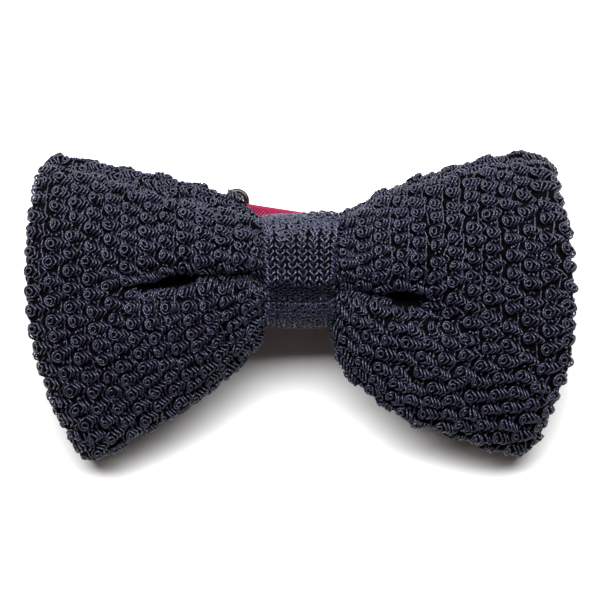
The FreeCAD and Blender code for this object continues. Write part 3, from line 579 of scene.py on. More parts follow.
def chevron(tip, half, sweep, top, foot, n=11):
    """A loop nested behind the bobble: an arrowhead whose arms go down under the neighbours."""
    q = np.linspace(-1, 1, n)
    x = tip - sweep * np.abs(q) ** 1.2
    y = half * q
    h = top - (top - foot) * np.abs(q) ** 2.2
    return x, y, h


def bump(x0, y0, length, top, lean=0.0, n=6):
    """A short stretch of yarn showing between the rows."""
    q = np.linspace(-1, 1, n)
    return x0 + lean * q, y0 + length / 2 * q, top * (1 - q * q) - 0.35 * q * q


def cord(x0, top, n=9):
    """The yarn that runs on from row to row beside a column of bobbles."""
    q = np.linspace(-1, 1, n)
    return x0 + 0.13 * np.sin(q * np.pi), 1.92 * q, top + 0.12 * np.cos(q * 2 * np.pi)


UNIT = [
    # path, tube radius, sides, place in the bake cell
    (ring_path(19), 0.212, 6, (0.0, 0.5, 0.5, 1.0)),
    (arc_path(17), 0.220, 6, (0.5, 0.5, 1.0, 1.0)),
    (chevron(1.62, 1.34, 1.10, 1.38, 0.15), 0.225, 6, (0.0, 0.0, 0.2, 0.5)),
    (chevron(2.40, 1.34, 1.10, 1.32, 0.05), 0.220, 6, (0.2, 0.0, 0.4, 0.5)),
    (chevron(3.18, 1.24, 1.02, 1.18, -0.02), 0.215, 6, (0.4, 0.0, 0.55, 0.5)),
    (chevron(3.94, 1.00, 0.84, 0.94, -0.10, n=9), 0.210, 6, (0.55, 0.0, 0.68, 0.5)),
    (cord(-1.80, 0.24), 0.200, 6, (0.68, 0.0, 0.85, 0.5)),
    (bump(0.45, 1.90, 0.80, 0.46, 0.24), 0.21, 6, (0.85, 0.0, 0.90, 0.5)),
    (bump(1.30, 1.84, 0.80, 0.52, -0.28), 0.21, 6, (0.90, 0.0, 0.95, 0.5)),
    (bump(2.15, 1.92, 0.75, 0.40, 0.22), 0.20, 6, (0.95, 0.0, 1.0, 0.5)),
]


def knob(n=9):
    """The body a bobble and its nested loops lie on, in the ground's near-black colour: painted shade."""
    x = np.array([-1.10, -0.95, -0.55, 0.0, 0.8, 1.7, 2.6, 3.3, 3.75])
    r = np.array([0.10, 0.56, 0.82, 0.88, 0.86, 0.80, 0.66, 0.46, 0.12])
    return x, np.zeros(n), np.interp(x, [-1.1, 1.0, 2.6, 3.75], [0.08, 0.14, 0.10, -0.1]), r


def put_units(yarns, place, M, cells, g, keep=None, flat=1.0, ground=None, only=99, thick=1.0, sparse=0.0):
    """Every bobble gets its own turn, size, height and lean. place maps mm to points and outward directions."""
    flat = np.broadcast_to(flat, (M,))
    rot = g.normal(0, 0.17, M)
    size = 1 + g.normal(0, 0.055, M)
    tall = (1 + g.normal(0, 0.12, M)) * flat
    lean = g.normal(0, 0.15, M)
    if ground is not None:
        x, y, h, r = knob()
        pts, up = place(x[None] * np.cos(rot)[:, None] * size[:, None], x[None] * np.sin(rot)[:, None] * size[:, None], h[None] * np.ones((M, 1)))
        ground.add(pts, up, (r[None] * size[:, None]) * flat[:, None] ** 0.35, 8, cells, (0, 0, 1, 1))
    ring_turn = g.normal(0, 0.30, M)
    hole = 1.0 - 0.10 * g.random((M, 1))
    narrow = 0.97 - 0.56 * g.random((M, 1)) ** 1.3
    flat_shift = 0.30 * (1 - narrow)
    sparse = np.broadcast_to(sparse, (M,))
    for i, ((x, y, h), r, sides, box) in enumerate(UNIT):
        if i >= only:
            break
        n = len(x)
        wob = g.normal(0, 0.05, (3, M, n))
        wob = (wob + np.roll(wob, 1, 2) + np.roll(wob, -1, 2)) / 3
        own = g.normal(0, 0.08, (2, M, 1)) if i > 1 else np.zeros((2, M, 1))
        turn = rot + (ring_turn * (1.6 if i == 0 else 0.7) if i < 2 else g.normal(0, 0.10, M))
        xs, ys = np.broadcast_to(x, (M, n)), np.broadcast_to(y, (M, n))
        if i == 0:
            th = np.arctan2(ys, xs)
            k = 1 + g.normal(0, 0.07, (M, 1)) * np.cos(2 * th + g.uniform(0, 6.28, (M, 1))) + g.normal(0, 0.05, (M, 1)) * np.cos(3 * th + g.uniform(0, 6.28, (M, 1)))
            k = k * hole
            xs, ys = xs * k * narrow + flat_shift + g.normal(0, 0.04, (M, 1)), ys * k
        elif i == 1:
            xs = xs * (0.35 + 0.65 * narrow) + flat_shift
        xr = xs * np.cos(turn)[:, None] - ys * np.sin(turn)[:, None]
        yr = xs * np.sin(turn)[:, None] + ys * np.cos(turn)[:, None]
        hh = h[None] * tall[:, None] + lean[:, None] * yr * 0.25 + wob[2]
        sel = np.ones(M, bool) if keep is None or i < 2 else g.random(M) < keep
        if i in (4, 5):
            sel = sel & (g.random(M) > sparse * 0.7)
        if i == 6:
            hh = hh + 0.90 * sparse[:, None]
        if i >= 7:
            hh = hh + 0.60 * sparse[:, None]
        pts, up = place((xr + wob[0] + own[0]) * size[:, None], (yr + wob[1] + own[1]) * size[:, None], hh)
        rr = r * thick * (1 + g.normal(0, 0.05, M))[:, None] * np.ones((M, n))
        rr[:, 0] *= 0.6
        rr[:, -1] *= 0.6
        yarns.add(pts[sel], up[sel], rr[sel], sides, cells[sel], box)


def units_on(cloth, side, col_range, lift, outward, yarns, row_ok=None, seed=1, flat=1.0, ground=None):
    """Sets bobbles on one face of the strip. outward 1 is the loop's outside, -1 its inside."""
    g = np.random.default_rng(seed)
    cols = np.arange(*col_range)
    cells, A, R = [], [], []
    for c in cols:
        a0 = 0.9 + c * PITCH
        for k in range(18):
            row = k + (0.0 if c % 2 == 0 else 0.5)
            if row < 0.3 or row > ROWS - 0.3:
                continue
            if row_ok is not None and not row_ok(row / ROWS):
                continue
            A.append(a0); R.append(row)
            cells.append((c - cols[0], k))
    A, R = np.array(A), np.array(R)
    cells = np.array(cells, float)
    if outward > 0:
        q, _ = cloth.at(A, R / ROWS)
        ax = np.abs(q[:, 0])
        lo, hi = (17.0, 37.5) if side < 0 else (14.0, 29.5)
        half = np.interp(ax, [lo - 4, lo, (lo + hi) / 2, hi - 2, hi], [0.0, 1.0, 2.0, 1.9, 0.0])
        keep = (A > cloth.length / 2) | (np.abs(q[:, 1] - table(OUT[side]["C"], ax)) > half)
        A, R, cells = A[keep], R[keep], cells[keep]
    M = len(A)
    q, nq = cloth.at(A, R / ROWS)
    over = np.clip((np.abs(q[:, 0]) - 38) / 4, 0, 1) * np.clip((9.5 - np.abs(q[:, 1] - 6.6)) / 1.5, 0, 1) * (nq[:, 2] < 0.2)
    if outward > 0:
        flat = flat * (1 - 0.20 * np.exp(-((A - cloth.length / 2) / 6.0) ** 2))
        flat = flat * (1 - 0.60 * over * (A > cloth.length * 0.45))
    sparse = 0.0
    if side > 0 and outward > 0:
        sparse = 0.58 * np.clip((np.abs(q[:, 0]) - 17) / 4, 0, 1) * np.clip((43 - np.abs(q[:, 0])) / 5, 0, 1) * np.clip((q[:, 1] - 2) / 4, 0, 1) * (nq[:, 2] > 0.2)
    squeeze = cloth.width_at(A) / FULL
    pleat = 0.62 * np.clip(0.86 - squeeze, 0, 0.6) / 0.6 * np.cos(np.pi * np.round(R - 0.01))
    A = A + g.normal(0, 0.20, M)
    W0 = (R + g.normal(0, 0.05, M)) / ROWS
    ky = (0.42 + 0.58 * squeeze) / squeeze
    kx = 0.80 + 0.20 * squeeze

    def place(x, y, h):
        a = A[:, None] + x * kx[:, None] * side
        w = W0[:, None] + y * ky[:, None] / FULL
        rim = 0.42 / cloth.width_at(np.clip(a, 0, cloth.length))
        w = np.clip(w, rim, 1 - rim)
        p, nn = cloth.at(a, w)
        return p + nn * (outward * (lift + h + pleat[:, None]))[..., None], nn * outward

    put_units(yarns, place, M, cells, g, flat=flat, ground=ground, sparse=sparse)


class Edge:
    """The strip's rounded edge: points by mm along, mm round the edge, mm up from it."""

    def __init__(self, cloth, edge, inset, r):
        self.c, self.e, self.inset, self.r = cloth, edge, inset, r

    def at(self, a, y, h):
        w = np.zeros_like(a) if self.e == 0 else np.ones_like(a)
        step = 0.004 if self.e == 0 else -0.004
        p, n = self.c.at(a, w)
        q, _ = self.c.at(a, w + step)
        out = p - q
        out /= np.linalg.norm(out, axis=-1, keepdims=True) + 1e-12
        th = y / (self.r + 0.6)
        d = np.cos(th)[..., None] * out + np.sin(th)[..., None] * n
        return p - out * self.inset + d * np.maximum(self.r + h, 0.12)[..., None], d


def edge_work(cloth, side, yarns, seed=3):
    """A bobble faces outward at every second column; close wraps of yarn shut the edge between them."""
    g = np.random.default_rng(seed)
    n_cols = int((cloth.length - 1.0) / PITCH) + 1
    for edge in (0, 1):
        rim = Edge(cloth, edge, 0.95, 0.42)
        cols = np.array([c for c in range(n_cols) if c % 2 == edge])
        A = 0.9 + cols * PITCH + g.normal(0, 0.22, len(cols))
        if side < 0 and edge == 1:
            back = A > cloth.length / 2
            A = np.where(back, A + (105.8 - 0.9) % (2 * PITCH) - PITCH, A)
        A = np.clip(A, 0.3, cloth.length - 2.0)
        M = len(A)
        grow = 1.0 + g.normal(0, 0.10, M)
        if side < 0 and edge == 1:
            # the large loop on the back layer beside the eye ring
            tip, _ = cloth.at(A, np.ones(M))
            near = np.argmin(np.where(A > cloth.length / 2, np.abs(tip[:, 0] + 14.4), 99.0))
            grow[near] = 1.45
            A[near] -= tip[near, 0] + 14.4
        roll = g.normal(0, 0.35, M)

        def place(x, y, h):
            a = A[:, None] + (x - 1.1) * side * 0.82
            return rim.at(a, (y + roll[:, None]) * grow[:, None], np.maximum(h, 0.15) * 0.92 * grow[:, None])

        cells = np.stack([cols.astype(float), np.full(M, 2.0 * edge)], 1)
        put_units(yarns, place, M, cells, g, only=5, thick=1.16)
        # wraps
        n = 11
        q = np.linspace(-1, 1, n)
        a = np.arange(0.4, cloth.length - 0.4, 0.62)
        M = len(a)
        a = a + g.normal(0, 0.07, M)
        aa = a[:, None] + 0.62 * q[None] + g.normal(0, 0.03, (M, n))
        yy = 1.9 * q[None] + g.normal(0, 0.12, (M, 1))
        swell = 0.20 * np.cos((a - 0.9) * 2 * np.pi / (2 * PITCH) - edge * np.pi)[:, None]
        hh = 0.34 + swell + g.normal(0, 0.07, (M, 1)) - 0.25 * q[None] ** 4 + g.normal(0, 0.02, (M, n))
        p, up = rim.at(aa, yy, hh)
        cell = np.stack([np.clip(np.floor(a / PITCH), 0, yarns.cells[0] - 1), np.full(M, 2.0 * edge + 1)], 1)
        slot_k = np.arange(M) % 7
        for k in range(7):
            m = slot_k == k
            yarns.add(p[m], up[m], 0.235 * np.ones((m.sum(), n)), 6, cell[m], (k / 7, 0.0, (k + 1) / 7, 1.0))


def edge_ground(cloth, name, left=False):
    """Ground under the edge work, in the near-black ground colour (painted shade): a cord in each edge and a knob under
    each outward bobble.
    """
    y = Yarns((4, 60))
    n_cols = int((cloth.length - 1.0) / PITCH) + 1
    for edge in (0, 1):
        rim = Edge(cloth, edge, 0.95, 0.0)
        a = np.linspace(0.2, cloth.length - 0.2, 170)[None]
        p, up = rim.at(a, np.zeros_like(a), np.zeros_like(a))
        y.add(p, up, 0.52, 8, np.array([[0.0, float(edge)]]), (0, 0, 1, 1))
        cols = np.array([c for c in range(n_cols) if c % 2 == edge])
        A = 0.9 + cols * PITCH
        if left and edge == 1:
            A = np.where(A > cloth.length / 2, A + (105.8 - 0.9) % (2 * PITCH) - PITCH, A)
        A = np.clip(A, 0.3, cloth.length - 2.0)
        q = np.linspace(-1, 1, 9)
        aa = A[:, None] + (2.25 * q[None] - 0.3 * q[None] ** 2) * (-1 if left else 1)
        p, up = rim.at(aa, np.zeros_like(aa), 0.70 * np.ones_like(aa) - 0.22 * q[None] ** 2)
        r = 0.92 * np.sqrt(np.clip(1 - 0.92 * q ** 4, 0.05, 1))[None] * np.ones((len(A), 1))
        y.add(p, up, r, 8, np.stack([np.full(len(A), 1.0 + edge), np.arange(len(A), dtype=float)], 1), (0, 0, 1, 1))
    return y.mesh(name)


def core_sheet(cloth, name, half, n_a=150, n_w=110, inset=0.85):
    """The strip's ground: a closed sheet a little inside the strip's edges."""
    a = np.linspace(0.0, cloth.length, n_a)
    f = np.linspace(0, 1, n_w)
    A = a[:, None] * np.ones(n_w)
    ins = (inset / cloth.width_at(a))[:, None]
    W = ins + (1 - 2 * ins) * f[None]
    p, n = cloth.at(A, W)
    ripple = 0.12 * np.sin(A * 2 * np.pi / PITCH) * np.cos(W * ROWS * 2 * np.pi)
    rim = np.clip(np.minimum(f, 1 - f) * cloth.width_at(a)[:, None] / 0.6, 0.0, 1.0)
    thick = half * np.sqrt(np.clip(rim * (2 - rim), 0.06, 1))
    top = p + n * (thick + ripple * rim)[..., None]
    low = p - n * (thick - ripple * rim)[..., None]
    V = np.concatenate([top.reshape(-1, 3), low.reshape(-1, 3)])
    i, j = np.meshgrid(np.arange(n_a - 1), np.arange(n_w - 1), indexing="ij")
    k = (i * n_w + j).reshape(-1)
    up = np.stack([k, k + n_w, k + n_w + 1, k + 1], 1)
    off = n_a * n_w
    dn = np.stack([k + off, k + 1 + off, k + n_w + 1 + off, k + n_w + off], 1)
    rims = []
    for jj, flip in ((0, True), (n_w - 1, False)):
        e = np.arange(n_a - 1) * n_w + jj
        q = np.stack([e, e + n_w, e + n_w + off, e + off], 1)
        rims.append(q[:, ::-1] if flip else q)
    for ii, flip in ((0, False), (n_a - 1, True)):
        e = ii * n_w + np.arange(n_w - 1)
        q = np.stack([e, e + 1, e + 1 + off, e + off], 1)
        rims.append(q[:, ::-1] if flip else q)
    Q = np.concatenate([up, dn] + rims)
    return mesh_from(name, V, Q)


pieces = {}
for side, label in ((-1, "left"), (1, "right")):
    cloth = Cloth(wing_surface(side))
    out_normal = cloth.N[60, 210]
    if out_normal[2] < 0:
        cloth.flip()
    n_cols = int((cloth.length - 1.0) / PITCH) + 1
    turn_col = n_cols // 2
    core = core_sheet(cloth, "%s_wing_ground" % label, 0.45)
    # the wing's ground sheet is coloured near-black: painted shade under the bobbles
    dress(core, NAVY_GROUND_PAINTED_SHADE, "bow")
    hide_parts("%s_wing_loop" % label)
    parts = []
    bands = [(0, 5), (5, 10), (10, 15), (15, 20), (20, 25), (25, n_cols)]
    for b, (c0, c1) in enumerate(bands):
        y, gnd = Yarns((max(c1 - c0, 1), 19)), Yarns((max(c1 - c0, 1), 19))
        units_on(cloth, side, (c0, c1), 0.40, 1, y, seed=10 + b + (side > 0) * 50, ground=gnd)
        ob = y.mesh("%s_wing_bobbles_%d" % (label, b + 1))
        parts.append(dress(ob, NAVY, "bow"))
        parts.append(dress(gnd.mesh("%s_wing_bobble_ground_%d" % (label, b + 1)), NAVY_GROUND_PAINTED_SHADE, "bow"))
    for b, (c0, c1) in enumerate([(1, turn_col), (turn_col, n_cols)]):
        y = Yarns((max(c1 - c0, 1), 19))
        units_on(cloth, side, (c0, c1), 0.38, -1, y, row_ok=lambda w: w < 0.2 or w > 0.76, seed=30 + b + (side > 0) * 50, flat=0.75)
        ob = y.mesh("%s_wing_inner_bobbles_%d" % (label, b + 1))
        parts.append(dress(ob, NAVY, "bow"))
    y = Yarns((n_cols + 1, 4))
    edge_work(cloth, side, y, seed=5 + side)
    parts.append(dress(y.mesh("%s_wing_selvedges" % label), NAVY, "bow"))
    parts.append(dress(edge_ground(cloth, "%s_wing_edge_ground" % label, side < 0), NAVY_GROUND_PAINTED_SHADE, "bow"))
    pieces[label] = (core, parts, cloth)
    xs = [round(float(cloth.at(np.array([0.9 + c * PITCH]), np.array([1.0]))[0][0, 0]), 1) for c in range(n_cols // 2)]
    print(label, "top edge column x", xs)
    print(label, "loop length", round(cloth.length, 1), "width", cloth.W.min().round(1), cloth.W.max().round(1), "columns", n_cols)

# =====================================================================================
# knot: a stockinette band round the middle
# =====================================================================================
KY0, KY1, KZ0, KZ1 = -5.0, 20.3, 7.1, 23.9


def knot_section(n=900):
    """Closed section in Y, Z of the knot band's outer face, from the middle of the back round by the top edge."""
    t = np.linspace(0, 2 * np.pi, n, endpoint=False)
    cy, cz = (KY0 + KY1) / 2, (KZ0 + KZ1) / 2
    hy, hz = (KY1 - KY0) / 2, (KZ1 - KZ0) / 2
    # squarer at the back, rounder in front
    ca, sa = np.cos(t - np.pi / 2), np.sin(t - np.pi / 2)
    e = np.where(sa > 0, 2.6, 4.2)
    r = (np.abs(ca) ** e + np.abs(sa) ** e) ** (-1 / e)
    return cy + hy * r * ca, cz + hz * r * sa


def knot_surface():
    y, z = knot_section()
    y, z = np.append(y, y[0]), np.append(z, z[0])
    d = np.concatenate([[0], np.cumsum(np.hypot(np.diff(y), np.diff(z)))])
    m = 420
    q = np.linspace(0, d[-1], m)
    y, z = np.interp(q, d, y), np.interp(q, d, z)
    nx = 90
    v = np.linspace(-1, 1, nx)
    G = np.zeros((m, nx, 3))
    for i in range(m):
        f = (y[i] - 7.65) / 12.65
        front = np.clip((z[i] - 12) / 8, 0, 1)
        hw = 7.75 + 0.62 * f * front
        hw -= 0.35 * front * (1 - f * f)
        G[i, :, 0] = hw * v
        pull = 0.55 * np.abs(v) ** 3.2
        cy, cz = 7.65, 15.5
        ln = math.hypot(y[i] - cy, z[i] - cz)
        G[i, :, 1] = y[i] - (y[i] - cy) / ln * (1.0 + pull)
        G[i, :, 2] = z[i] - (z[i] - cz) / ln * (1.0 + pull) - (0.70 * math.exp(-((y[i] - 2.2) / 1.9) ** 2) if z[i] > 15 else 0.0)
    return G, float(d[-1])


KG, KLEN = knot_surface()
knot = Cloth(KG, rows_n=420, cols_n=90)
if np.dot(knot.N[210, 45], np.array([0, 0, 1.0])) < 0:
    knot.flip()
WALES = 6.5
wale = 1.0 / WALES
COURSE = 1.42
courses = int(knot.length / COURSE)


def stitches(cloth, name, course_range, lift=0.30, seed=2):
    """Courses of knit loops: each one yarn across the band, its loops through those of the course before."""
    g = np.random.default_rng(seed)
    c = np.arange(*course_range)
    M = len(c)
    per = 18
    n = int(per * WALES) + 1
    t = np.linspace(0, 2 * np.pi * WALES, n)
    step = cloth.length / courses
    w = t / (2 * np.pi * WALES)
    # open, clearly drawn stitches over the middle of the front, closer ones above, below and behind
    mid, nrm = cloth.at((c + 0.5) * step, np.full(M, 0.5))
    front = np.clip((nrm[:, 2] - 0.45) / 0.3, 0, 1)
    band = np.clip((mid[:, 1] - 3.6) / 2.4, 0, 1) * np.clip((15.6 - mid[:, 1]) / 2.4, 0, 1) * front
    tuck = (np.clip((6.2 - mid[:, 1]) / 1.6, 0, 1) * np.clip((mid[:, 1] + 1.0) / 1.6, 0, 1) * front)[:, None]
    op = (band * band * (3 - 2 * band))[:, None]
    swing = wale * ((0.255 + 0.035 * op) * np.sin(2 * t)[None] + 0.050 * np.sin(t)[None])
    loop = np.floor(t / (2 * np.pi) + 0.25).astype(int)
    own = g.normal(0, 1, (M, loop.max() + 1))
    own2 = g.normal(0, 1, (M, loop.max() + 1))
    drift = 0.05 * wale * np.sin(c * 0.9)[:, None]
    W = w[None] + swing + drift + 0.035 * wale * own[:, loop] + g.normal(0, 0.002, (M, n))
    reach = (0.92 - 0.26 * op) * (1 + 0.12 * own2[:, loop])
    A = (c[:, None] + 0.5) * step + np.cos(t)[None] * reach * step + g.normal(0, 0.05, (M, 1))
    Z = -(0.22 + 0.13 * op) * np.cos(2 * t)[None] + g.normal(0, 0.02, (M, n)) - 0.07 * np.cos(t)[None]
    A = np.mod(A, cloth.length)
    p, nn = cloth.at(A, np.clip(W, -0.02, 1.02))
    p = p + nn * (lift + Z - 0.16 * tuck)[..., None]
    y = Yarns((1, courses))
    y.add(p, nn, (0.275 - 0.055 * np.maximum(op, tuck * 1.5)) * (1 + g.normal(0, 0.03, (M, 1))) * np.ones((M, n)), 7, np.stack([np.zeros(M), c.astype(float)], 1), (0, 0, 1, 1))
    return y.mesh(name)


def closed_core(cloth, name, half, n_a=170, n_w=36):
    """The band's ground, closed round the middle."""
    a = np.linspace(0.0, cloth.length, n_a, endpoint=False)
    w = np.linspace(0.02, 0.98, n_w)
    A, W = np.meshgrid(a, w, indexing="ij")
    p, n = cloth.at(A, W)
    V = np.concatenate([(p + n * half).reshape(-1, 3), (p - n * half).reshape(-1, 3)])
    i, j = np.meshgrid(np.arange(n_a), np.arange(n_w - 1), indexing="ij")
    k = (i * n_w + j).reshape(-1)
    k2 = (((i + 1) % n_a) * n_w + j).reshape(-1)
    off = n_a * n_w
    Q = [np.stack([k, k2, k2 + 1, k + 1], 1), np.stack([k + off, k + 1 + off, k2 + 1 + off, k2 + off], 1)]
    for jj, flip in ((0, True), (n_w - 1, False)):
        e = np.arange(n_a) * n_w + jj
        e2 = ((np.arange(n_a) + 1) % n_a) * n_w + jj
        q = np.stack([e, e2, e2 + off, e + off], 1)
        Q.append(q[:, ::-1] if flip else q)
    return mesh_from(name, V, np.concatenate(Q))


knot_core = closed_core(knot, "knot_ground", 0.35)
# the knot band's ground is coloured near-black: painted shade under the stitches
dress(knot_core, NAVY_GROUND_PAINTED_SHADE, "bow")
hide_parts("knot_band")
# the knot's stitches take the lighter copy of the navy yarn: painted light
knot_parts = [dress(stitches(knot, "knot_stitches_1", (0, courses // 2), seed=21), NAVY_KNOT_PAINTED_LIGHT, "bow"),
              dress(stitches(knot, "knot_stitches_2", (courses // 2, courses), seed=22), NAVY_KNOT_PAINTED_LIGHT, "bow")]


def knot_edges():
    """Edge loops down both sides of the band."""
    g = np.random.default_rng(8)
    y = Yarns((courses, 2))
    n = 13
    q = np.linspace(-1, 1, n)
    for edge in (0, 1):
        a = (np.arange(courses) + 0.5) * knot.length / courses
        M = len(a)
        aa = a[:, None] + 0.5 * q[None] + g.normal(0, 0.03, (M, n))
        off = 0.45 * (1 - q[None] ** 2) - 0.9 * q[None] ** 2
        off = off * (1 + g.normal(0, 0.12, (M, 1)))
        w = -off / 15.5 if edge == 0 else 1 + off / 15.5
        p, nn = knot.at(np.mod(aa, knot.length), w)
        h = 0.7 * np.sin(q * np.pi / 2)[None] * np.ones((M, 1)) - 0.45
        p = p + nn * h[..., None]
        run, _ = knot.at(np.mod(aa + 0.3, knot.length), w)
        base, _ = knot.at(np.mod(aa, knot.length), w)
        y.add(p, run - base, 0.27 * np.ones((M, n)), 6, np.stack([np.arange(M).astype(float), np.full(M, float(edge))], 1), (0, 0, 1, 1))
    return y.mesh("knot_selvedges")


knot_parts.append(dress(knot_edges(), NAVY, "bow"))


def knot_lip():
    """The row of fuller loops along the band's top."""
    g = np.random.default_rng(12)
    q, nrm = knot.at(np.linspace(0, knot.length, 400), np.full(400, 0.5))
    top = np.linspace(0, knot.length, 400)[np.argmax(q[:, 1] + 0.25 * q[:, 2])]
    y = Yarns((9, 2))
    n = 22
    f = np.linspace(0, 1, n)
    ang = 2 * np.pi * (1.35 * f - 0.2)
    M = 8
    w0 = (np.arange(M) + 0.5) / M + g.normal(0, 0.006, M)
    rise = np.interp(w0, [0, 0.15, 0.5, 0.75, 1.0], [0.15, -0.25, -0.10, 0.60, 0.75])
    for k in range(2):
        A = top + (k * 1.25 - 0.5) + (0.78 * np.sin(ang))[None] * (1 + g.normal(0, 0.08, (M, 1)))
        W = (w0 + k * 0.5 / M)[:, None] + (0.80 * np.cos(ang))[None] / 15.5 * (1 + g.normal(0, 0.08, (M, 1)))
        H = 0.62 + rise[:, None] * (1 - 0.5 * k) + 0.16 * np.cos(ang * 1.5)[None] - 1.0 * np.clip((np.abs(f - 0.5) - 0.42) / 0.08, 0, 1)[None] + g.normal(0, 0.03, (M, n))
        p, nn = knot.at(A, np.clip(W, 0, 1))
        y.add(p + nn * H[..., None], nn, 0.25 * np.ones((M, n)), 7, np.stack([np.arange(M).astype(float), np.full(M, float(k))], 1), (0, 0, 1, 1))
    return y.mesh("knot_top_loops")


knot_parts.append(dress(knot_lip(), NAVY, "bow"))


def knot_mesh_loops():
    """Small crowded loops over the top and the foot of the band, where its stitches close up."""
    g = np.random.default_rng(31)
    n = 15
    f = np.linspace(0, 1, n)
    ang0 = 2 * np.pi * 1.06 * f
    aa, ww = [], []
    rows = np.arange(0, knot.length, 1.30)
    for k, a in enumerate(rows):
        for j in range(9):
            aa.append(a); ww.append((j + 0.5 + 0.5 * (k % 2)) / 9.3)
    aa, ww = np.array(aa) + g.normal(0, 0.07, len(aa)), np.array(ww) + g.normal(0, 0.006, len(aa))
    q, nq = knot.at(aa, np.clip(ww, 0.02, 0.98))
    front = nq[:, 2] > -0.75
    skew = 1.2 * np.sin(ww * 7.0) + 0.8 * (ww - 0.5)
    low = (q[:, 1] < 4.9 + skew * 0.7) & front
    high = (q[:, 1] > 15.1 - skew * 0.8) & front
    m = (low | high) & (ww < 0.975)
    aa, ww = aa[m], ww[m]
    M = len(aa)
    ang = ang0[None] + g.uniform(0, 6.28, (M, 1))
    ra = (0.53 + g.normal(0, 0.04, (M, 1)))
    A = aa[:, None] + ra * np.sin(ang) * (1 + 0.14 * np.cos(2 * ang))
    W = ww[:, None] + ra * 1.15 * np.cos(ang) / 15.5
    H = 0.56 + 0.10 * np.cos(ang - g.uniform(0, 6.28, (M, 1))) + g.normal(0, 0.04, (M, 1)) - 0.5 * np.clip((np.abs(f - 0.5) - 0.44) / 0.06, 0, 1)[None]
    p, nn = knot.at(np.mod(A, knot.length), np.clip(W, 0, 1))
    # front loops in the tuck below the knot's middle get the much darker copy of the navy yarn: painted shade
    tuck_shade_mask = ((q[m][:, 1] > 0.6) & (q[m][:, 1] < 8)) & (nq[m][:, 2] > 0.3)
    obs = []
    # the other low loops, at the foot and on the underside, get the darker copy of the navy yarn: painted shade
    foot = ~tuck_shade_mask & (q[m][:, 1] < 8)
    for part, name in ((~tuck_shade_mask & ~foot, "knot_close_loops"), (tuck_shade_mask, "knot_tucked_loops"), (foot, "knot_foot_loops")):
        y = Yarns((24, 24))
        k = np.arange(part.sum())
        y.add((p + nn * H[..., None])[part], nn[part], 0.265 * np.ones((len(k), n)), 7, np.stack([(k % 24).astype(float), (k // 24).astype(float)], 1), (0, 0, 1, 1))
        obs.append(y.mesh(name))
    return obs


close_loops, tuck_shaded_loops, foot_shaded_loops = knot_mesh_loops()
knot_parts.append(dress(close_loops, NAVY, "bow"))
knot_parts.append(dress(tuck_shaded_loops, NAVY_TUCK_PAINTED_SHADE, "bow"))
knot_parts.append(dress(foot_shaded_loops, NAVY_FOOT_PAINTED_SHADE, "bow"))

# =====================================================================================
# strap
# =====================================================================================
ST, SW = 0.6, 14.5


def band_section():
    """Section of the woven band: across, up. Flat faces, slightly fuller rolled selvedges."""
    h, hw = ST / 2, SW / 2
    xs = np.array([-hw, -hw + 0.10, -hw + 0.35, -hw + 0.7, -hw + 1.0, -5.2, -3.4, -1.7, 0, 1.7, 3.4, 5.2, hw - 1.0, hw - 0.7, hw - 0.35, hw - 0.10, hw])
    zs = np.array([0.0, 0.20, 0.30, 0.27, 0.22, 0.24, 0.25, 0.255, 0.26, 0.255, 0.25, 0.24, 0.22, 0.27, 0.30, 0.20, 0.0])
    top = np.stack([xs, zs], 1)
    low = np.stack([xs[-2:0:-1], -zs[-2:0:-1]], 1)
    return np.concatenate([top, low])


SECTION = band_section()


def band_mesh(name, path, across, normal, cap=True, start_mm=0.0):
    """A band swept along path (N,3) in mm, with unit vectors across and normal at each point."""
    path, across, normal = (np.asarray(v, float) for v in (path, across, normal))
    N, K = len(path), len(SECTION)
    V = path[:, None] + across[:, None] * SECTION[None, :, :1] + normal[:, None] * SECTION[None, :, 1:]
    d = np.concatenate([[0], np.cumsum(np.linalg.norm(np.diff(path, axis=0), axis=1))]) + start_mm
    i, k = np.meshgrid(np.arange(N - 1), np.arange(K), indexing="ij")
    k2 = (k + 1) % K
    Q = np.stack([i * K + k, i * K + k2, (i + 1) * K + k2, (i + 1) * K + k], -1).reshape(-1, 4)
    u0, u1 = d[i], d[i + 1]
    y0, y1 = SECTION[k, 0], SECTION[k2, 0]
    uv = np.stack([np.stack([u0, y0], -1), np.stack([u0, y1], -1), np.stack([u1, y1], -1), np.stack([u1, y0], -1)], 2).reshape(-1, 2)
    lower = (SECTION[k, 1] + SECTION[k2, 1]) < 0
    span = d[-1] - d[0]
    vo = np.where(lower, 0.52, 0.02)
    def fx(u): return 0.01 + 0.98 * (u - d[0]) / span
    def fy(yv): return vo + 0.46 * (yv / SW + 0.5)
    bu = np.stack([np.stack([fx(u0), fy(y0)], -1), np.stack([fx(u0), fy(y1)], -1), np.stack([fx(u1), fy(y1)], -1), np.stack([fx(u1), fy(y0)], -1)], 2).reshape(-1, 2)
    caps = None
    if cap:
        caps = np.stack([np.arange(K)[::-1], (N - 1) * K + np.arange(K)])
    ob = mesh_from(name, V.reshape(-1, 3), Q, uv, bu, caps)
    return ob


TILT = math.radians(8.7)
P4 = np.array([44.7, 6.6, 0.0])
X5 = np.array([math.cos(TILT), -math.sin(TILT), 0.0])
Y5 = np.array([math.sin(TILT), math.cos(TILT), 0.0])
Z = np.array([0, 0, 1.0])
EX, EY = np.array([1.0, 0, 0]), np.array([0, 1.0, 0])


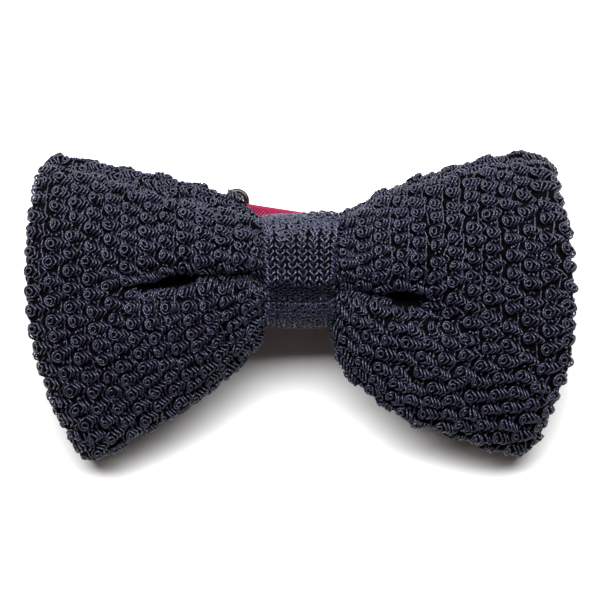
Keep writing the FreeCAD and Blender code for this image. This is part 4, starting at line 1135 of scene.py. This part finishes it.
def flat_run(name, x0, x1, z, slant0=0.0, slant1=0.0, frame5=False, wave=0.05, start=0.0, seed=1, n=None):
    """A flat stretch from x0 to x1. slant: how far the upper edge runs past the middle at each end."""
    n = n or max(8, int(abs(x1 - x0) / 1.0))
    f = np.linspace(0, 1, n)
    g = np.random.default_rng(seed)
    ph = g.uniform(0, 6.28, 3)
    xs = x0 + (x1 - x0) * f
    env = np.sin(np.pi * f)
    dz = wave * env * (np.sin(f * 9 + ph[0]) + 0.6 * np.sin(f * 21 + ph[1]))
    o = P4 if frame5 else np.array([0, 6.6, 0.0])
    ax, ay = (X5, Y5) if frame5 else (EX, EY)
    path = o + ax * xs[:, None] + Z * (z + ST / 2 + dz)[:, None]
    sgn = np.sign(x1 - x0)
    sl = (slant0 * (1 - f) ** 6 + slant1 * f ** 6) / (SW / 2)
    across = ay[None] + ax[None] * sl[:, None]
    normal = np.tile(Z * (1 if sgn > 0 else 1), (n, 1))
    return band_mesh(name, path, across, normal, start_mm=start)


def turn_run(name, x, zu, zl, bulge, slant=0.0, frame5=False, n=15, start=0.0, squash=1.0):
    """A half turn between two passes."""
    f = np.linspace(0, math.pi, n)
    r = (zu - zl) / 2
    cz = (zu + zl) / 2
    o = P4 if frame5 else np.array([0, 6.6, 0.0])
    ax, ay = (X5, Y5) if frame5 else (EX, EY)
    if slant:
        a = math.radians(slant)
        ax = np.array([math.cos(a), math.sin(a), 0.0])
        ay = np.array([-math.sin(a), math.cos(a), 0.0])
    path = o + (EX if not frame5 else X5) * (x - (0)) + 0 * Z
    path = path[None] + ax * (bulge * r * np.sin(f))[:, None] + Z * (cz + r * np.cos(f))[:, None]
    normal = ax * (bulge * np.sin(f))[:, None] + Z * np.cos(f)[:, None]
    across = np.tile(ay, (n, 1))
    return band_mesh(name, path, across, normal, start_mm=start)


Zr, Z2, Z3, Z4, Z5, Zret = 9.0, 6.1, 5.2, 4.3, 2.4, 0.05
h = ST / 2
strap = {}
strap["root"] = flat_run("strap_root_band", -46.5, 22.6, Zr, seed=1)
strap["tab_turn"] = turn_run("strap_tab_turn", 22.6, Zr + h, Zr + h - 1.4, 1)
strap["tab_back"] = flat_run("strap_tab_back", 22.6, 13.0, Zr - 1.4, seed=9, wave=0.02)
for k in ("root", "tab_turn", "tab_back"):
    dress(strap[k], CRIMSON, "bow")
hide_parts("neck_strap_root")
strap["p2"] = flat_run("strap_band_2", -46.5, 46.0, Z2, seed=2)
strap["p3"] = flat_run("strap_band_3", -45.5, 46.0, Z3, seed=3)
strap["p4"] = flat_run("strap_band_4", -45.5, 44.7, Z4, slant1=0.5515, seed=4)
strap["p5"] = flat_run("strap_band_5", -58.35, 0.0, Z5, slant1=-0.5515, frame5=True, seed=5)
strap["bight"] = turn_run("strap_ring_turn", -58.35, Z5 + h, Zret + h, -1, frame5=True)
for k, body, cad in (("p2", "strap_2", "strap_pass_2"), ("p3", "strap_3", "strap_pass_3"), ("p4", "strap_4", "strap_pass_4"),
                     ("p5", "strap_5", "strap_pass_5"), ("bight", "strap_5", None)):
    dress(strap[k], CRIMSON, body)
    if cad:
        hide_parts(cad)
# the doubled-back layer and its end round the slider's middle bar
C0 = -24.0
strap["ret"] = flat_run("strap_return_band", -58.35, C0 - 7, Zret, frame5=True, wave=0.0, seed=6)
strap["end_low"] = flat_run("strap_end_under", C0 - 7, C0 + 0.5, Zret, frame5=True, wave=0.0, seed=7)
strap["end_turn"] = turn_run("strap_end_turn", C0 + 0.5, Zret + h + 1.6, Zret + h, 1, frame5=True)
strap["end_top"] = flat_run("strap_end_over", C0 + 0.5, C0 - 7, Zret + 1.6, frame5=True, wave=0.0, seed=8)
for k in ("end_low", "end_turn", "end_top"):
    dress(strap[k], CRIMSON, "slider")
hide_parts("strap_end_loop")
dress(strap["ret"], CRIMSON)
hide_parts("strap_return")
folds = []
for name, x, zu, zl, bulge, slant, a, b in (
        ("strap_turn_1", -46.5, Zr, Z2, -1, 0, "bow", "strap_2"), ("strap_turn_2", 46.0, Z2, Z3, 1, 0, "strap_2", "strap_3"),
        ("strap_turn_3", -45.5, Z3, Z4, -1, 0, "strap_3", "strap_4"), ("strap_turn_4", 44.7, Z4, Z5, 1, -4.35, "strap_4", "strap_5")):
    ob = turn_run(name, x, zu + h, zl + h, bulge, slant, n=21)
    dress(ob, CRIMSON)
    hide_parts(name.replace("turn", "fold"))
    folds.append((ob, a, b, (x * MM, 6.6 * MM, (zu + h) * MM), (x * MM, 6.6 * MM, (zl + h) * MM)))

# =====================================================================================
# threads and hardware keep their CAD shapes
# =====================================================================================
nodes = frame["nodes"]


def cad_object(name):
    for o in bpy.data.objects:
        if o.name == name or o.get("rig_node") == name:
            return o
    raise RuntimeError("no CAD object " + name)


for n, m in (("gather_binding", NAVY_THREAD), ("knot_seam_stitches", NAVY_THREAD), ("strap_anchor_tacks", CRIMSON_THREAD),
             ("hook_tack", CRIMSON_THREAD), ("strap_end_tack", CRIMSON_THREAD),
             ("hook", BLACK), ("eye_ring", BLACK), ("slide_adjuster", BLACK)):
    o = cad_object(n)
    for s in o.material_slots:
        s.material = m

# =====================================================================================
# fold bands and the return band: their placements baked into their meshes
# =====================================================================================
for label in ("left", "right"):
    core, parts, cloth = pieces[label]

for ob, a, b, s, e in folds:
    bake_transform(ob)
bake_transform(strap["ret"])

# =====================================================================================
# floor, light, camera
# =====================================================================================
bpy.ops.mesh.primitive_plane_add(size=4, location=(0, 0, 0))
floor = bpy.context.object
floor.name = "floor"
m, nt, p = new_material("pale_floor")
p.inputs["Base Color"].default_value = (0.93, 0.93, 0.93, 1)
p.inputs["Roughness"].default_value = 0.8
p.inputs["Specular IOR Level"].default_value = 0.2
floor.data.materials.append(m)

world = bpy.data.worlds.new("studio")
bpy.context.scene.world = world
world.use_nodes = True
world.node_tree.nodes["Background"].inputs[0].default_value = (1.0, 0.84, 0.78, 1)
world.node_tree.nodes["Background"].inputs[1].default_value = 0.07


def area(name, loc, target, size, power, size_y=None):
    light = bpy.data.lights.new(name, "AREA")
    light.energy = power
    light.size = size
    if size_y:
        light.shape = "RECTANGLE"
        light.size_y = size_y
    o = bpy.data.objects.new(name, light)
    o.location = loc
    d = Vector(target) - Vector(loc)
    o.rotation_euler = d.to_track_quat("-Z", "Y").to_euler()
    bpy.context.scene.collection.objects.link(o)
    return o


area("key", (-0.03, 0.47, 0.70), (0, 0, 0.01), 1.40, 29.5, size_y=0.46)

cam_data = bpy.data.cameras.new("camera")
cam = bpy.data.objects.new("camera", cam_data)
bpy.context.scene.collection.objects.link(cam)
bpy.context.scene.camera = cam
DIST = 0.85
REF_Z = 0.012
cam.location = (0.0, 0.00131, REF_Z + DIST)
cam.rotation_euler = (0, 0, 0)
cam_data.sensor_width = 36
cam_data.lens = 36 * DIST / 0.1309
cam_data.clip_start = 0.01
cam_data.clip_end = 20
bpy.context.scene.view_settings.view_transform = "Standard"
